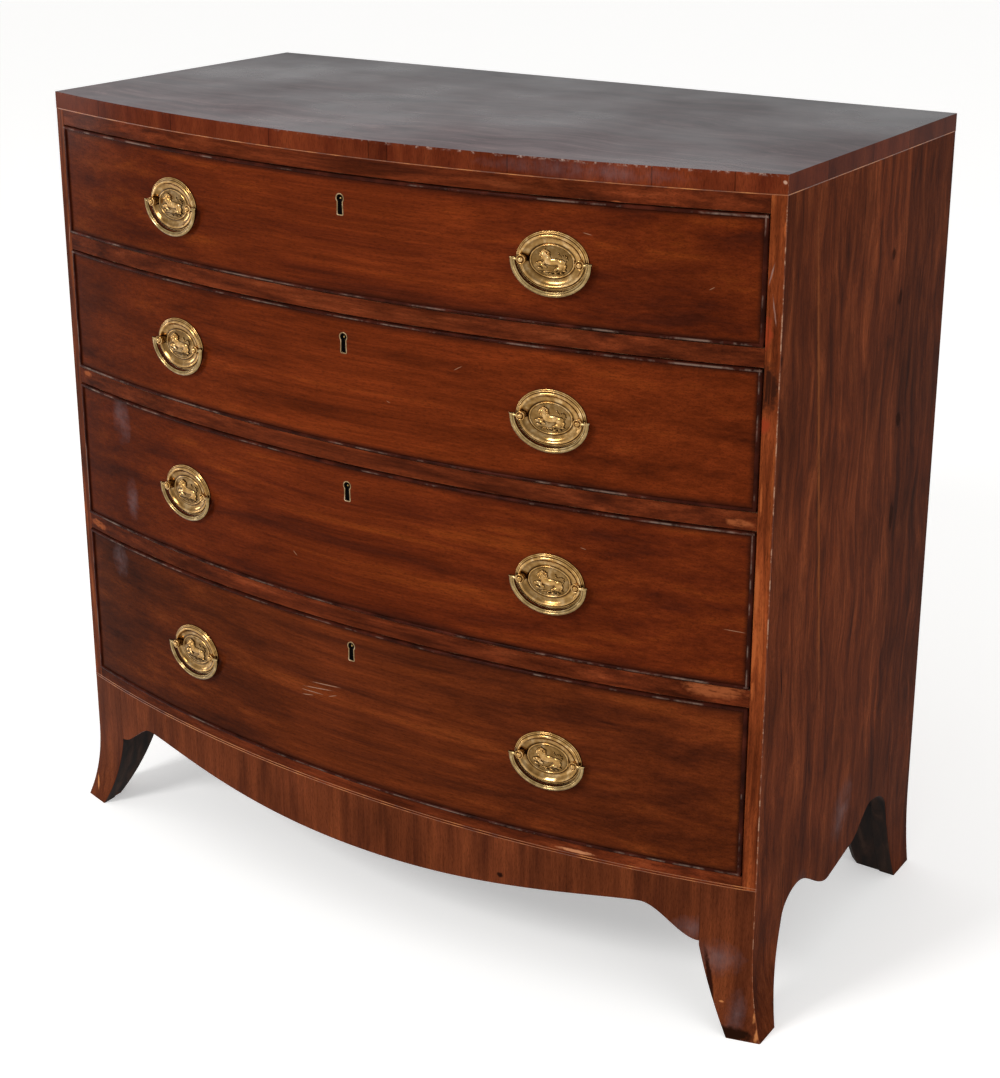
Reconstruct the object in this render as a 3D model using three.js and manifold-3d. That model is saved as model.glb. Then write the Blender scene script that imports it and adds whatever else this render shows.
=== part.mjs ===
// Bow front chest of four long graduated drawers on splayed bracket feet.
// Millimetres, +Z up, front towards -Y, origin on the floor below the middle of the chest.
import * as THREE from 'three';
import { mergeVertices } from 'three/addons/utils/BufferGeometryUtils.js';
import Module from 'manifold-3d';

const wasm = await Module();
wasm.setup();

// Driving dimensions of the chest
const caseWidth = 1000;
const caseDepth = 452;
const bowRise = 70;
const chestHeight = 980;
const topThickness = 20;
const topRailHeight = 19.5;
const dividerHeight = 20.5;
const openingShares = [1.1, 1.248, 1.448, 1.64];
const bottomThickness = 16;
const baseHeight = 183.5;
const sideThickness = 16;
const railBackSetback = 45;
const backThickness = 10;
const backRebateWidth = 8;
const backBoardCount = 4;
const backGrooveWidth = 2;
const backGrooveDepth = 2;
const runnerWidth = 45;
const dustBoardThickness = 8;

// Clearances
const curveGap = 0.3;
const jointGap = 0.2;
const runningGap = 0.3;
const drawerSideGap = 1;
const drawerTopGap = 1.2;
const drawerBottomGap = 0.8;
const drawerRearGap = 6;
const overrun = 2;
const facetLength = 50;

// Drawer dimensions
const frontThickness = 22;
const beadWidth = 4;
const beadDepth = 9;
const beadProud = 2.5;
const drawerSideThickness = 10;
const drawerSideDrop = 4;
const drawerBackThickness = 9;
const drawerBackDrop = 10;
const drawerBottomThickness = 6;
const drawerBottomLift = 9;
const drawerGrooveDepth = 4;
const dovetailCount = 4;
const dovetailLength = 13;
const dovetailNarrowShare = 0.5;
const dovetailWideShare = 0.78;

// Lock and keyhole
const lockWidth = 64;
const lockHeight = 52;
const lockThickness = 12;
const lockPocketDepth = 9;
const keyholeDrops = [34.5, 33.5, 33.5, 32.5];
const keyholeRadius = 2.7;
const keyholeSlotWidth = 3.4;
const keyholeSlotLength = 12;
const keyholeFacets = 5;
const escutcheonRadius = 5.75;
const escutcheonSlotWidth = 8.4;
const escutcheonLength = 25;
const escutcheonDepth = 5;
const lockPinRadius = 1.2;
const lockPinLength = 9;

// Handles
const handleOffset = 262;
const handleDropShares = [0.490909, 0.512821, 0.5, 0.504878];
const plateWidth = 82;
const plateHeight = 64;
const plateThickness = 3.6;
const plateSegments = 20;
const postSpacing = 66;
const postHeadRadius = 5;
const postHeadLength = 5;
const postNeckRadius = 3.4;
const postShankRadius = 2.3;
const postSides = 8;
const pivotStandoff = 6.5;
const nutRadius = 5;
const nutThickness = 3;
const nutSides = 6;
const bailHalfWidth = 43.5;
const bailDrop = 37.4;
const bailRodRadius = 2.6;
const bailRodSides = 8;
const bailSteps = 14;
const bailEndRise = 2.2;
const pinRadius = 1.2;
const pinHoleRadius = 1.5;
const pinReach = 3;

// Apron and feet
const apronThickness = 20;
const frontArchHeight = 145;
const frontArchDistance = 128;
const frontDropHeight = 111.5;
const frontShoulderHeight = 109;
const frontJointDistance = 60;
const dropCurveShare = 0.65;
const shoulderStep = 5;
const frontFootSideDistance = 70;
const sideArchHeight = 138;
const sideArchDistance = 112;
const sideDropHeight = 99;
const sideDropDistance = 200;
const backFootSideDistance = 75;
const rearArchHeight = 144;
const rearArchDistance = 130;
const rearDropHeight = 112;
const rearDropDistance = 188;
const footFrontBottom = 38;
const footSideBottom = 38;
const backFootSideBottom = 47;
const backFootBackBottom = 66;
const backFootBackTop = 80;
const blockStep = 2;
const blockChamfer = 12;
const splayHeight = 110;
const sideSplay = 18;
const frontSplay = 10;
const backFootSplay = 6;
const splayPower = 2.3;
const splayRows = 10;
const outlineStep = 20;

// Places worked out from the driving dimensions
const halfWidth = caseWidth / 2;
const innerHalf = halfWidth - sideThickness;
const fullDepth = caseDepth + bowRise + beadProud;
const backY = fullDepth / 2;
const cornerY = backY - caseDepth;
const frontRadius = (halfWidth ** 2 + bowRise ** 2) / (2 * bowRise);
const arcCentreY = cornerY - bowRise + frontRadius;
const railBackY = cornerY + railBackSetback;
const panelFrontY = backY - backThickness;
const underTop = chestHeight - topThickness;
const openingsTop = underTop - topRailHeight;
const dividersHeight = (openingShares.length - 1) * dividerHeight;
const openingsHeight = openingsTop - dividersHeight - bottomThickness - baseHeight;
const shareTotal = openingShares.reduce((total, share) => total + share, 0);
const drawerOpenings = openingShares.map((share) => (openingsHeight * share) / shareTotal);
const openingTops = [];
const openingBottoms = [];
let runningTop = openingsTop;
for (const opening of drawerOpenings) {
  openingTops.push(runningTop);
  openingBottoms.push(runningTop - opening);
  runningTop -= opening + dividerHeight;
}
const lowestOpening = openingBottoms[openingBottoms.length - 1];
const caseBottom = lowestOpening - bottomThickness;
const footStraightHeight = frontShoulderHeight - shoulderStep;

const wood = {
  mahogany: new THREE.MeshStandardMaterial({ color: '#6b2a16', roughness: 0.32, metalness: 0 }),
  mahoganyDark: new THREE.MeshStandardMaterial({ color: '#3a1a10', roughness: 0.36, metalness: 0 }),
  oak: new THREE.MeshStandardMaterial({ color: '#a8804f', roughness: 0.7, metalness: 0 }),
  pine: new THREE.MeshStandardMaterial({ color: '#9a7146', roughness: 0.8, metalness: 0 }),
};
const metal = {
  brass: new THREE.MeshStandardMaterial({ color: '#c8a25c', roughness: 0.28, metalness: 1 }),
};

// Solids that are cut or joined, and back to a geometry

function toSolid(geometry) {
  const plain = geometry.clone();
  plain.deleteAttribute('normal');
  plain.deleteAttribute('uv');
  const merged = mergeVertices(plain);
  return new wasm.Manifold(new wasm.Mesh({
    numProp: 3,
    vertProperties: new Float32Array(merged.attributes.position.array),
    triVerts: new Uint32Array(merged.index.array),
  }));
}

function toGeometry(solid) {
  const mesh = solid.getMesh();
  const geometry = new THREE.BufferGeometry();
  geometry.setAttribute('position', new THREE.BufferAttribute(new Float32Array(mesh.vertProperties), 3));
  geometry.setIndex(new THREE.BufferAttribute(new Uint32Array(mesh.triVerts), 1));
  geometry.computeVertexNormals();
  return geometry;
}

function cut(geometry, cutters) {
  let solid = toSolid(geometry);
  for (const cutter of cutters) solid = solid.subtract(toSolid(cutter));
  return toGeometry(solid);
}

function join(geometries) {
  let solid = toSolid(geometries[0]);
  for (const geometry of geometries.slice(1)) solid = solid.add(toSolid(geometry));
  return toGeometry(solid);
}

function common(first, second) {
  return toGeometry(toSolid(first).intersect(toSolid(second)));
}

function block(x0, x1, y0, y1, z0, z1) {
  const box = new THREE.BoxGeometry(x1 - x0, y1 - y0, z1 - z0);
  box.translate((x0 + x1) / 2, (y0 + y1) / 2, (z0 + z1) / 2);
  return box;
}

// The bow: every curved face is an arc about one upright axis

function bowY(x, radius) {
  return arcCentreY - Math.sqrt(radius ** 2 - x ** 2);
}

function bowPoints(x0, x1, radius) {
  const count = Math.max(1, Math.ceil(Math.abs(x1 - x0) / facetLength));
  const points = [];
  for (let i = 0; i <= count; i += 1) {
    const x = x0 + ((x1 - x0) * i) / count;
    points.push(new THREE.Vector2(x, bowY(x, radius)));
  }
  return points;
}

function extruded(shape, depth) {
  return new THREE.ExtrudeGeometry(shape, { depth, curveSegments: keyholeFacets, bevelEnabled: false });
}

function upright(points, z0, z1) {
  const geometry = extruded(new THREE.Shape(points), z1 - z0);
  geometry.translate(0, 0, z0);
  return geometry;
}

// A board with a bowed front and a straight back
function bowedBoard(x0, x1, radius, rearY, z0, z1) {
  const points = bowPoints(x0, x1, radius);
  points.push(new THREE.Vector2(x1, rearY), new THREE.Vector2(x0, rearY));
  return upright(points, z0, z1);
}

// A board bent to the bow on both faces
function bentBoard(x0, x1, outerRadius, innerRadius, z0, z1) {
  const points = [...bowPoints(x0, x1, outerRadius), ...bowPoints(x1, x0, innerRadius)];
  return upright(points, z0, z1);
}

// An outline in the X-Z plane carried through from one Y to another
function acrossY(points, y0, y1) {
  const geometry = extruded(new THREE.Shape(points), y1 - y0);
  geometry.rotateX(Math.PI / 2);
  geometry.translate(0, y1, 0);
  return geometry;
}

// An outline in the Y-Z plane carried through from one X to another
function acrossX(points, x0, x1) {
  const geometry = extruded(new THREE.Shape(points), x1 - x0);
  geometry.rotateX(Math.PI / 2);
  geometry.rotateZ(Math.PI / 2);
  geometry.translate(x0, 0, 0);
  return geometry;
}

const chest = new THREE.Group();

function addMesh(parent, name, geometry, material) {
  const mesh = new THREE.Mesh(geometry, material);
  mesh.name = name;
  parent.add(mesh);
  return mesh;
}

// Carcase

function makeSide(side) {
  const x0 = side > 0 ? innerHalf : -halfWidth;
  const x1 = side > 0 ? halfWidth : -innerHalf;
  const board = bowedBoard(x0, x1, frontRadius, backY, caseBottom, underTop);
  const rebateInner = side * (innerHalf - overrun);
  const rebateOuter = side * (innerHalf + backRebateWidth);
  const rebate = block(
    Math.min(rebateInner, rebateOuter),
    Math.max(rebateInner, rebateOuter),
    panelFrontY,
    backY + overrun,
    caseBottom - overrun,
    underTop + overrun,
  );
  return cut(board, [rebate]);
}

function makeBack() {
  const reach = innerHalf + backRebateWidth - jointGap;
  const panel = block(-reach, reach, panelFrontY + jointGap, backY, caseBottom, underTop);
  const grooves = [];
  const boardHeight = (underTop - caseBottom) / backBoardCount;
  for (let i = 1; i < backBoardCount; i += 1) {
    const z = caseBottom + boardHeight * i;
    grooves.push(block(
      -reach - overrun,
      reach + overrun,
      backY - backGrooveDepth,
      backY + overrun,
      z - backGrooveWidth / 2,
      z + backGrooveWidth / 2,
    ));
  }
  return cut(panel, grooves);
}

function makeDivider(z0) {
  const z1 = z0 + dividerHeight;
  const reach = innerHalf - jointGap;
  const rail = bowedBoard(-reach, reach, frontRadius, railBackY, z0, z1);
  const dustLow = (z0 + z1 - dustBoardThickness) / 2;
  const dust = block(
    -reach + overrun,
    reach - overrun,
    railBackY - overrun,
    panelFrontY,
    dustLow,
    dustLow + dustBoardThickness,
  );
  const runnerLeft = block(-reach, -reach + runnerWidth, railBackY - overrun, panelFrontY, z0, z1);
  const runnerRight = block(reach - runnerWidth, reach, railBackY - overrun, panelFrontY, z0, z1);
  return join([rail, dust, runnerLeft, runnerRight]);
}

const carcaseReach = innerHalf - jointGap;
addMesh(
  chest,
  'top_board',
  bowedBoard(-halfWidth, halfWidth, frontRadius, backY, underTop, chestHeight),
  wood.mahogany,
);
addMesh(chest, 'side_left', makeSide(-1), wood.mahogany);
addMesh(chest, 'side_right', makeSide(1), wood.mahogany);
addMesh(chest, 'back_panel', makeBack(), wood.pine);
addMesh(
  chest,
  'bottom_board',
  bowedBoard(-carcaseReach, carcaseReach, frontRadius, panelFrontY, caseBottom, lowestOpening),
  wood.mahogany,
);
addMesh(
  chest,
  'top_rail',
  bowedBoard(-carcaseReach, carcaseReach, frontRadius, railBackY, openingsTop, underTop),
  wood.mahogany,
);
for (let i = 0; i < drawerOpenings.length - 1; i += 1) {
  addMesh(chest, `divider_${i + 1}`, makeDivider(openingBottoms[i] - dividerHeight), wood.mahogany);
}

// Apron outlines

function easedStep(share) {
  return share * share * (3 - 2 * share);
}

// Height of the front apron's lower edge at a distance in from the front corner
function frontEdgeHeight(distance) {
  if (distance < frontArchDistance) {
    const share = (distance - frontJointDistance) / (frontArchDistance - frontJointDistance);
    return frontShoulderHeight + (frontArchHeight - frontShoulderHeight) * easedStep(share);
  }
  const share = (distance - frontArchDistance) / (halfWidth - frontArchDistance);
  const fall = (1 - Math.cos(Math.PI * share ** dropCurveShare)) / 2;
  return frontArchHeight - (frontArchHeight - frontDropHeight) * fall;
}

// Height of one side bracket's lower edge at a distance in from its own end of the case
function bracketHeight(distance, joint, arch, archHeight, drop, dropHeight) {
  if (distance < arch) {
    const share = (arch - distance) / (arch - joint);
    return footStraightHeight + (archHeight - footStraightHeight) * Math.sqrt(1 - share ** 2);
  }
  return archHeight - (archHeight - dropHeight) * easedStep((distance - arch) / (drop - arch));
}

// Height of a side apron's lower edge: the front bracket, a slope and the rear bracket
function sideEdgeHeight(distance) {
  const fromBack = caseDepth - distance;
  if (distance < sideDropDistance) {
    const joint = frontFootSideDistance;
    return bracketHeight(distance, joint, sideArchDistance, sideArchHeight, sideDropDistance, sideDropHeight);
  }
  if (fromBack < rearDropDistance) {
    const joint = backFootSideDistance;
    return bracketHeight(fromBack, joint, rearArchDistance, rearArchHeight, rearDropDistance, rearDropHeight);
  }
  const share = (distance - sideDropDistance) / (caseDepth - rearDropDistance - sideDropDistance);
  return sideDropHeight + (rearDropHeight - sideDropHeight) * share;
}

function makeFrontApron() {
  const reach = halfWidth - frontJointDistance - jointGap;
  const inner = frontRadius - apronThickness;
  const board = bentBoard(-reach, reach, frontRadius, inner, frontShoulderHeight - overrun, caseBottom);
  const points = [];
  const count = 2 * Math.round(reach / outlineStep);
  for (let i = 0; i <= count; i += 1) {
    const x = -reach + (2 * reach * i) / count;
    points.push(new THREE.Vector2(x, frontEdgeHeight(halfWidth - Math.abs(x))));
  }
  points[0].x -= overrun;
  points[count].x += overrun;
  points.push(new THREE.Vector2(reach + overrun, caseBottom + overrun));
  points.push(new THREE.Vector2(-reach - overrun, caseBottom + overrun));
  return common(board, acrossY(points, cornerY - 2 * bowRise, cornerY + 2 * apronThickness));
}

function makeSideApron(side) {
  const start = frontFootSideDistance + jointGap;
  const end = caseDepth - backFootSideDistance - jointGap;
  const count = Math.round((end - start) / (outlineStep / 2));
  const points = [];
  for (let i = 0; i <= count; i += 1) {
    const distance = start + ((end - start) * i) / count;
    points.push(new THREE.Vector2(cornerY + distance, sideEdgeHeight(distance)));
  }
  points.push(new THREE.Vector2(cornerY + end, caseBottom));
  points.push(new THREE.Vector2(cornerY + start, caseBottom));
  const outer = side * halfWidth;
  const inner = side * (halfWidth - apronThickness);
  return acrossX(points, Math.min(outer, inner), Math.max(outer, inner));
}

addMesh(chest, 'apron_front', makeFrontApron(), wood.mahogany);
addMesh(chest, 'apron_left', makeSideApron(-1), wood.mahogany);
addMesh(chest, 'apron_right', makeSideApron(1), wood.mahogany);

// Feet, lofted from rings that follow the bracket's two edges up to the case

function loft(rings) {
  const size = rings[0].length;
  const positions = [];
  const indices = [];
  for (const ring of rings) {
    for (const point of ring) positions.push(point.x, point.y, point.z);
  }
  for (let r = 0; r < rings.length - 1; r += 1) {
    for (let i = 0; i < size; i += 1) {
      const a = r * size + i;
      const b = r * size + ((i + 1) % size);
      indices.push(a, b, b + size, a, b + size, a + size);
    }
  }
  const flat = (ring) => ring.map((point) => new THREE.Vector2(point.x, point.y));
  const last = (rings.length - 1) * size;
  for (const [a, b, c] of THREE.ShapeUtils.triangulateShape(flat(rings[0]), [])) indices.push(a, c, b);
  for (const [a, b, c] of THREE.ShapeUtils.triangulateShape(flat(rings[rings.length - 1]), [])) {
    indices.push(last + a, last + b, last + c);
  }
  const geometry = new THREE.BufferGeometry();
  geometry.setAttribute('position', new THREE.BufferAttribute(new Float32Array(positions), 3));
  geometry.setIndex(indices);
  geometry.computeVertexNormals();
  return geometry;
}

function splayAt(z) {
  return z < splayHeight ? (1 - z / splayHeight) ** splayPower : 0;
}

// Width of a bracket's leg at height z, straight up to its joint with the apron
function legWidth(z, bottomWidth, jointWidth) {
  return bottomWidth + (jointWidth - bottomWidth) * Math.min(1, z / footStraightHeight);
}

function footHeights() {
  const heights = [];
  for (let i = 0; i <= splayRows; i += 1) heights.push((footStraightHeight * i) / splayRows);
  heights.push(caseBottom);
  return heights;
}

function makeFrontFoot(side) {
  const rings = footHeights().map((z) => {
    const along = legWidth(z, footFrontBottom, frontJointDistance);
    const back = legWidth(z, footSideBottom, frontFootSideDistance);
    const innerX = halfWidth - along;
    const blockX = innerX + blockStep;
    const blockY = cornerY + back - blockStep;
    const inner = frontRadius - apronThickness;
    const outline = [
      [halfWidth, cornerY],
      [halfWidth, cornerY + back],
      [halfWidth - apronThickness, cornerY + back],
      [halfWidth - apronThickness, blockY],
      [blockX + blockChamfer, blockY],
      [blockX, blockY - blockChamfer],
      [blockX, bowY(blockX, inner)],
      [innerX, bowY(innerX, inner)],
      [innerX, bowY(innerX, frontRadius)],
      [halfWidth - along / 2, bowY(halfWidth - along / 2, frontRadius)],
    ];
    const ring = outline.map(([x, y]) => new THREE.Vector3(
      side * (x + sideSplay * splayAt(z)),
      y - frontSplay * splayAt(z),
      z,
    ));
    return side > 0 ? ring : ring.reverse();
  });
  return loft(rings);
}

function makeBackFoot(side) {
  const rings = footHeights().map((z) => {
    const along = legWidth(z, backFootBackBottom, backFootBackTop);
    const forward = legWidth(z, backFootSideBottom, backFootSideDistance);
    const innerX = halfWidth - along;
    const blockX = innerX + blockStep;
    const blockY = backY - forward + blockStep;
    const outline = [
      [halfWidth, backY],
      [innerX, backY],
      [innerX, backY - apronThickness],
      [blockX, backY - apronThickness],
      [blockX, blockY + blockChamfer],
      [blockX + blockChamfer, blockY],
      [halfWidth - apronThickness, blockY],
      [halfWidth - apronThickness, backY - forward],
      [halfWidth, backY - forward],
    ];
    const ring = outline.map(([x, y]) => new THREE.Vector3(side * (x + backFootSplay * splayAt(z)), y, z));
    return side > 0 ? ring : ring.reverse();
  });
  return loft(rings);
}

addMesh(chest, 'foot_front_left', makeFrontFoot(-1), wood.mahogany);
addMesh(chest, 'foot_front_right', makeFrontFoot(1), wood.mahogany);
addMesh(chest, 'foot_back_left', makeBackFoot(-1), wood.mahogany);
addMesh(chest, 'foot_back_right', makeBackFoot(1), wood.mahogany);

// Handles, made at their own pivot: x along the drawer front, -y out of it

function turned(points, segments) {
  return new THREE.LatheGeometry(points.map(([r, y]) => new THREE.Vector2(r, y)), segments);
}

const plateProfileShares = [
  [0, 0], [1, 0], [1, 0.42], [0.965, 0.72], [0.935, 0.6], [0.915, 0.95], [0.875, 1],
  [0.84, 0.72], [0.75, 0.4], [0.64, 0.25], [0.61, 0.52], [0.54, 0.66], [0, 0.72],
];
const postReach = frontThickness + nutThickness + 2 * curveGap;

function makePost(x) {
  const headOut = pivotStandoff + postHeadLength / 2;
  const headIn = pivotStandoff - postHeadLength / 2;
  const headBevel = postHeadRadius - postNeckRadius;
  const profile = [
    [0, -postReach],
    [postShankRadius, -postReach],
    [postShankRadius, plateThickness / 2],
    [postNeckRadius, plateThickness / 2],
    [postNeckRadius, headIn],
    [postHeadRadius, headIn + headBevel / 2],
    [postHeadRadius, headOut - headBevel],
    [postNeckRadius, headOut],
    [0, headOut],
  ];
  const post = turned(profile, postSides);
  const nut = new THREE.CylinderGeometry(nutRadius, nutRadius, nutThickness, nutSides);
  nut.translate(0, -postReach + nutThickness / 2, 0);
  const whole = join([post, nut]);
  whole.rotateX(Math.PI);
  whole.translate(x, 0, 0);
  return whole;
}

function makePlate() {
  const points = plateProfileShares.map(([r, h]) => [r, curveGap + h * plateThickness]);
  const plate = turned(points, plateSegments);
  plate.rotateX(Math.PI);
  plate.scale(plateWidth / 2, 1, plateHeight / 2);
  const half = postSpacing / 2;
  const whole = join([plate, makePost(-half), makePost(half)]);
  const holes = [-1, 1].map((side) => {
    const hole = new THREE.CylinderGeometry(pinHoleRadius, pinHoleRadius, 2 * postHeadRadius, postSides);
    hole.rotateZ(Math.PI / 2);
    const tip = half + postHeadRadius - pinReach - curveGap;
    hole.translate(side * (tip + postHeadRadius), -pivotStandoff, 0);
    return hole;
  });
  return cut(whole, holes);
}

function makeBail() {
  const points = [new THREE.Vector3(-bailHalfWidth, -pivotStandoff, bailEndRise)];
  for (let i = 0; i <= bailSteps; i += 1) {
    const angle = (Math.PI * i) / bailSteps;
    points.push(new THREE.Vector3(
      -bailHalfWidth * Math.cos(angle),
      -pivotStandoff,
      -bailDrop * Math.sin(angle),
    ));
  }
  points.push(new THREE.Vector3(bailHalfWidth, -pivotStandoff, bailEndRise));
  const spline = new THREE.CatmullRomCurve3(points);
  const section = new THREE.Shape();
  section.absarc(0, 0, bailRodRadius, 0, 2 * Math.PI, false);
  const rod = new THREE.ExtrudeGeometry(section, {
    steps: bailSteps + 2,
    curveSegments: bailRodSides / 2,
    bevelEnabled: false,
    extrudePath: spline,
  });
  const inner = postSpacing / 2 + postHeadRadius - pinReach;
  const pins = [-1, 1].map((side) => {
    const pin = new THREE.CylinderGeometry(pinRadius, pinRadius, bailHalfWidth - inner, postSides);
    pin.rotateZ(Math.PI / 2);
    pin.translate((side * (bailHalfWidth + inner)) / 2, -pivotStandoff, 0);
    return pin;
  });
  return join([rod, ...pins]);
}

const plateGeometry = makePlate();
const bailGeometry = makeBail();

// Drawers

function dovetails(zLow, zHigh, rootY, grow) {
  const pitch = (zHigh - zLow) / dovetailCount;
  const tails = [];
  for (let i = 0; i < dovetailCount; i += 1) {
    const mid = zLow + pitch * (i + 0.5);
    const narrow = (pitch * dovetailNarrowShare) / 2 + grow;
    const wide = (pitch * dovetailWideShare) / 2 + grow;
    const tipY = rootY - dovetailLength - grow;
    tails.push([
      new THREE.Vector2(rootY + overrun, mid - narrow),
      new THREE.Vector2(rootY + overrun, mid + narrow),
      new THREE.Vector2(tipY, mid + wide),
      new THREE.Vector2(tipY, mid - wide),
    ]);
  }
  return tails;
}

// A keyhole shape, round above and straight below, cut from in front of the drawer to a depth
function keyholeCutter(z, radius, slotWidth, length, depth) {
  const shape = new THREE.Shape();
  const halfSlot = slotWidth / 2;
  const start = -Math.asin(halfSlot / radius) - Math.PI / 2;
  const roundZ = z + length / 2 - radius;
  const rise = Math.sqrt(radius ** 2 - halfSlot ** 2);
  shape.moveTo(halfSlot, z - length / 2);
  shape.lineTo(halfSlot, roundZ - rise);
  shape.absarc(0, roundZ, radius, -Math.PI - start, start, false);
  shape.lineTo(-halfSlot, z - length / 2);
  const geometry = extruded(shape, depth + overrun);
  geometry.rotateX(Math.PI / 2);
  geometry.translate(0, cornerY - bowRise + depth, 0);
  return geometry;
}

function makeDrawer(index) {
  const number = index + 1;
  const drawer = new THREE.Group();
  const opening = drawerOpenings[index];
  drawer.position.set(0, 0, openingBottoms[index]);
  const frontLow = drawerBottomGap;
  const frontHigh = opening - drawerTopGap;
  const reach = innerHalf - drawerSideGap;
  const inner = frontRadius - frontThickness;
  const beadInner = frontRadius - beadDepth;
  const sideLow = runningGap;
  const sideHigh = frontHigh - drawerSideDrop;
  const sideInner = reach - drawerSideThickness;
  const rearY = panelFrontY - drawerRearGap;
  const tailRootY = bowY(reach, inner) + curveGap;
  const floorLow = sideLow + drawerBottomLift;
  const floorHigh = floorLow + drawerBottomThickness;
  const keyholeZ = opening - keyholeDrops[index];
  const handleZ = opening - opening * handleDropShares[index];
  const angle = Math.asin(handleOffset / frontRadius);

  const core = reach - beadWidth - curveGap;
  const coreLow = frontLow + beadWidth + curveGap;
  const coreHigh = frontHigh - beadWidth - curveGap;
  const rear = bentBoard(-reach, reach, beadInner - curveGap, inner, frontLow, frontHigh);
  const face = bentBoard(-core, core, frontRadius, inner + curveGap, coreLow, coreHigh);
  const cutters = [
    keyholeCutter(keyholeZ, keyholeRadius, keyholeSlotWidth, keyholeSlotLength, frontThickness + overrun),
    keyholeCutter(keyholeZ, escutcheonRadius, escutcheonSlotWidth, escutcheonLength, escutcheonDepth),
  ];
  const lockY = cornerY - bowRise + frontThickness - lockPocketDepth;
  const lockLow = frontHigh - lockHeight;
  cutters.push(block(
    -lockWidth / 2 - curveGap,
    lockWidth / 2 + curveGap,
    lockY - curveGap,
    lockY + 2 * frontThickness,
    lockLow - curveGap,
    frontHigh + overrun,
  ));
  const floorReach = sideInner + drawerGrooveDepth - jointGap;
  const floorRadius = inner + drawerGrooveDepth;
  cutters.push(bowedBoard(
    -floorReach - jointGap,
    floorReach + jointGap,
    floorRadius,
    cornerY + bowRise,
    floorLow - jointGap,
    floorHigh + jointGap,
  ));
  for (const side of [-1, 1]) {
    const x0 = side > 0 ? sideInner - overrun : -reach - overrun;
    const x1 = side > 0 ? reach + overrun : -sideInner + overrun;
    const tails = dovetails(sideLow, sideHigh, tailRootY, curveGap);
    for (const tail of tails) cutters.push(acrossX(tail, x0, x1));
    const holder = new THREE.Object3D();
    holder.rotation.z = side * angle;
    holder.position.set(side * handleOffset, bowY(handleOffset, frontRadius), handleZ);
    holder.updateMatrix();
    for (const end of [-1, 1]) {
      const radius = postShankRadius + curveGap;
      const hole = new THREE.CylinderGeometry(radius, radius, 2 * frontThickness, postSides);
      hole.translate((end * postSpacing) / 2, frontThickness / 2, 0);
      hole.applyMatrix4(holder.matrix);
      cutters.push(hole);
    }
  }
  addMesh(drawer, `drawer_${number}_front`, cut(join([rear, face]), cutters), wood.mahogany);

  const beadOuter = bentBoard(-reach, reach, frontRadius + beadProud, beadInner, frontLow, frontHigh);
  const beadHole = bentBoard(
    -reach + beadWidth,
    reach - beadWidth,
    frontRadius + bowRise,
    beadInner - bowRise,
    frontLow + beadWidth,
    frontHigh - beadWidth,
  );
  addMesh(drawer, `drawer_${number}_cockbead`, cut(beadOuter, [beadHole]), wood.mahoganyDark);

  for (const side of [-1, 1]) {
    const x0 = side > 0 ? sideInner : -reach;
    const x1 = side > 0 ? reach : -sideInner;
    const board = bowedBoard(x0, x1, inner - curveGap, rearY, sideLow, sideHigh);
    const tails = dovetails(sideLow, sideHigh, tailRootY, 0).map((tail) => acrossX(tail, x0, x1));
    const grooveInner = side * (sideInner - overrun);
    const grooveOuter = side * (sideInner + drawerGrooveDepth);
    const groove = block(
      Math.min(grooveInner, grooveOuter),
      Math.max(grooveInner, grooveOuter),
      cornerY - bowRise,
      backY,
      floorLow - jointGap,
      floorHigh + jointGap,
    );
    const name = side > 0 ? 'right' : 'left';
    addMesh(drawer, `drawer_${number}_side_${name}`, cut(join([board, ...tails]), [groove]), wood.oak);
  }

  const floor = bowedBoard(-floorReach, floorReach, floorRadius - jointGap, rearY, floorLow, floorHigh);
  addMesh(drawer, `drawer_${number}_bottom`, floor, wood.oak);
  const back = block(
    -sideInner + jointGap,
    sideInner - jointGap,
    rearY - drawerBackThickness,
    rearY,
    floorHigh + jointGap,
    sideHigh - drawerBackDrop,
  );
  addMesh(drawer, `drawer_${number}_back`, back, wood.oak);

  const lockBody = block(-lockWidth / 2, lockWidth / 2, lockY, lockY + lockThickness, lockLow, frontHigh);
  const pin = new THREE.CylinderGeometry(lockPinRadius, lockPinRadius, lockPinLength, postSides);
  pin.translate(0, lockY - lockPinLength / 2 + overrun, keyholeZ + keyholeSlotLength / 2 - keyholeRadius);
  addMesh(drawer, `drawer_${number}_lock`, join([lockBody, pin]), metal.brass);

  for (const side of [-1, 1]) {
    const handle = new THREE.Group();
    handle.position.set(side * handleOffset, bowY(handleOffset, frontRadius), handleZ);
    handle.rotation.z = side * angle;
    const name = side > 0 ? 'right' : 'left';
    addMesh(handle, `drawer_${number}_plate_${name}`, plateGeometry, metal.brass);
    addMesh(handle, `drawer_${number}_bail_${name}`, bailGeometry, metal.brass);
    drawer.add(handle);
  }
  return drawer;
}

for (let i = 0; i < drawerOpenings.length; i += 1) chest.add(makeDrawer(i));

export default chest;
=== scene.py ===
import math
import bmesh
import bpy
from mathutils import Matrix, Vector


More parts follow.
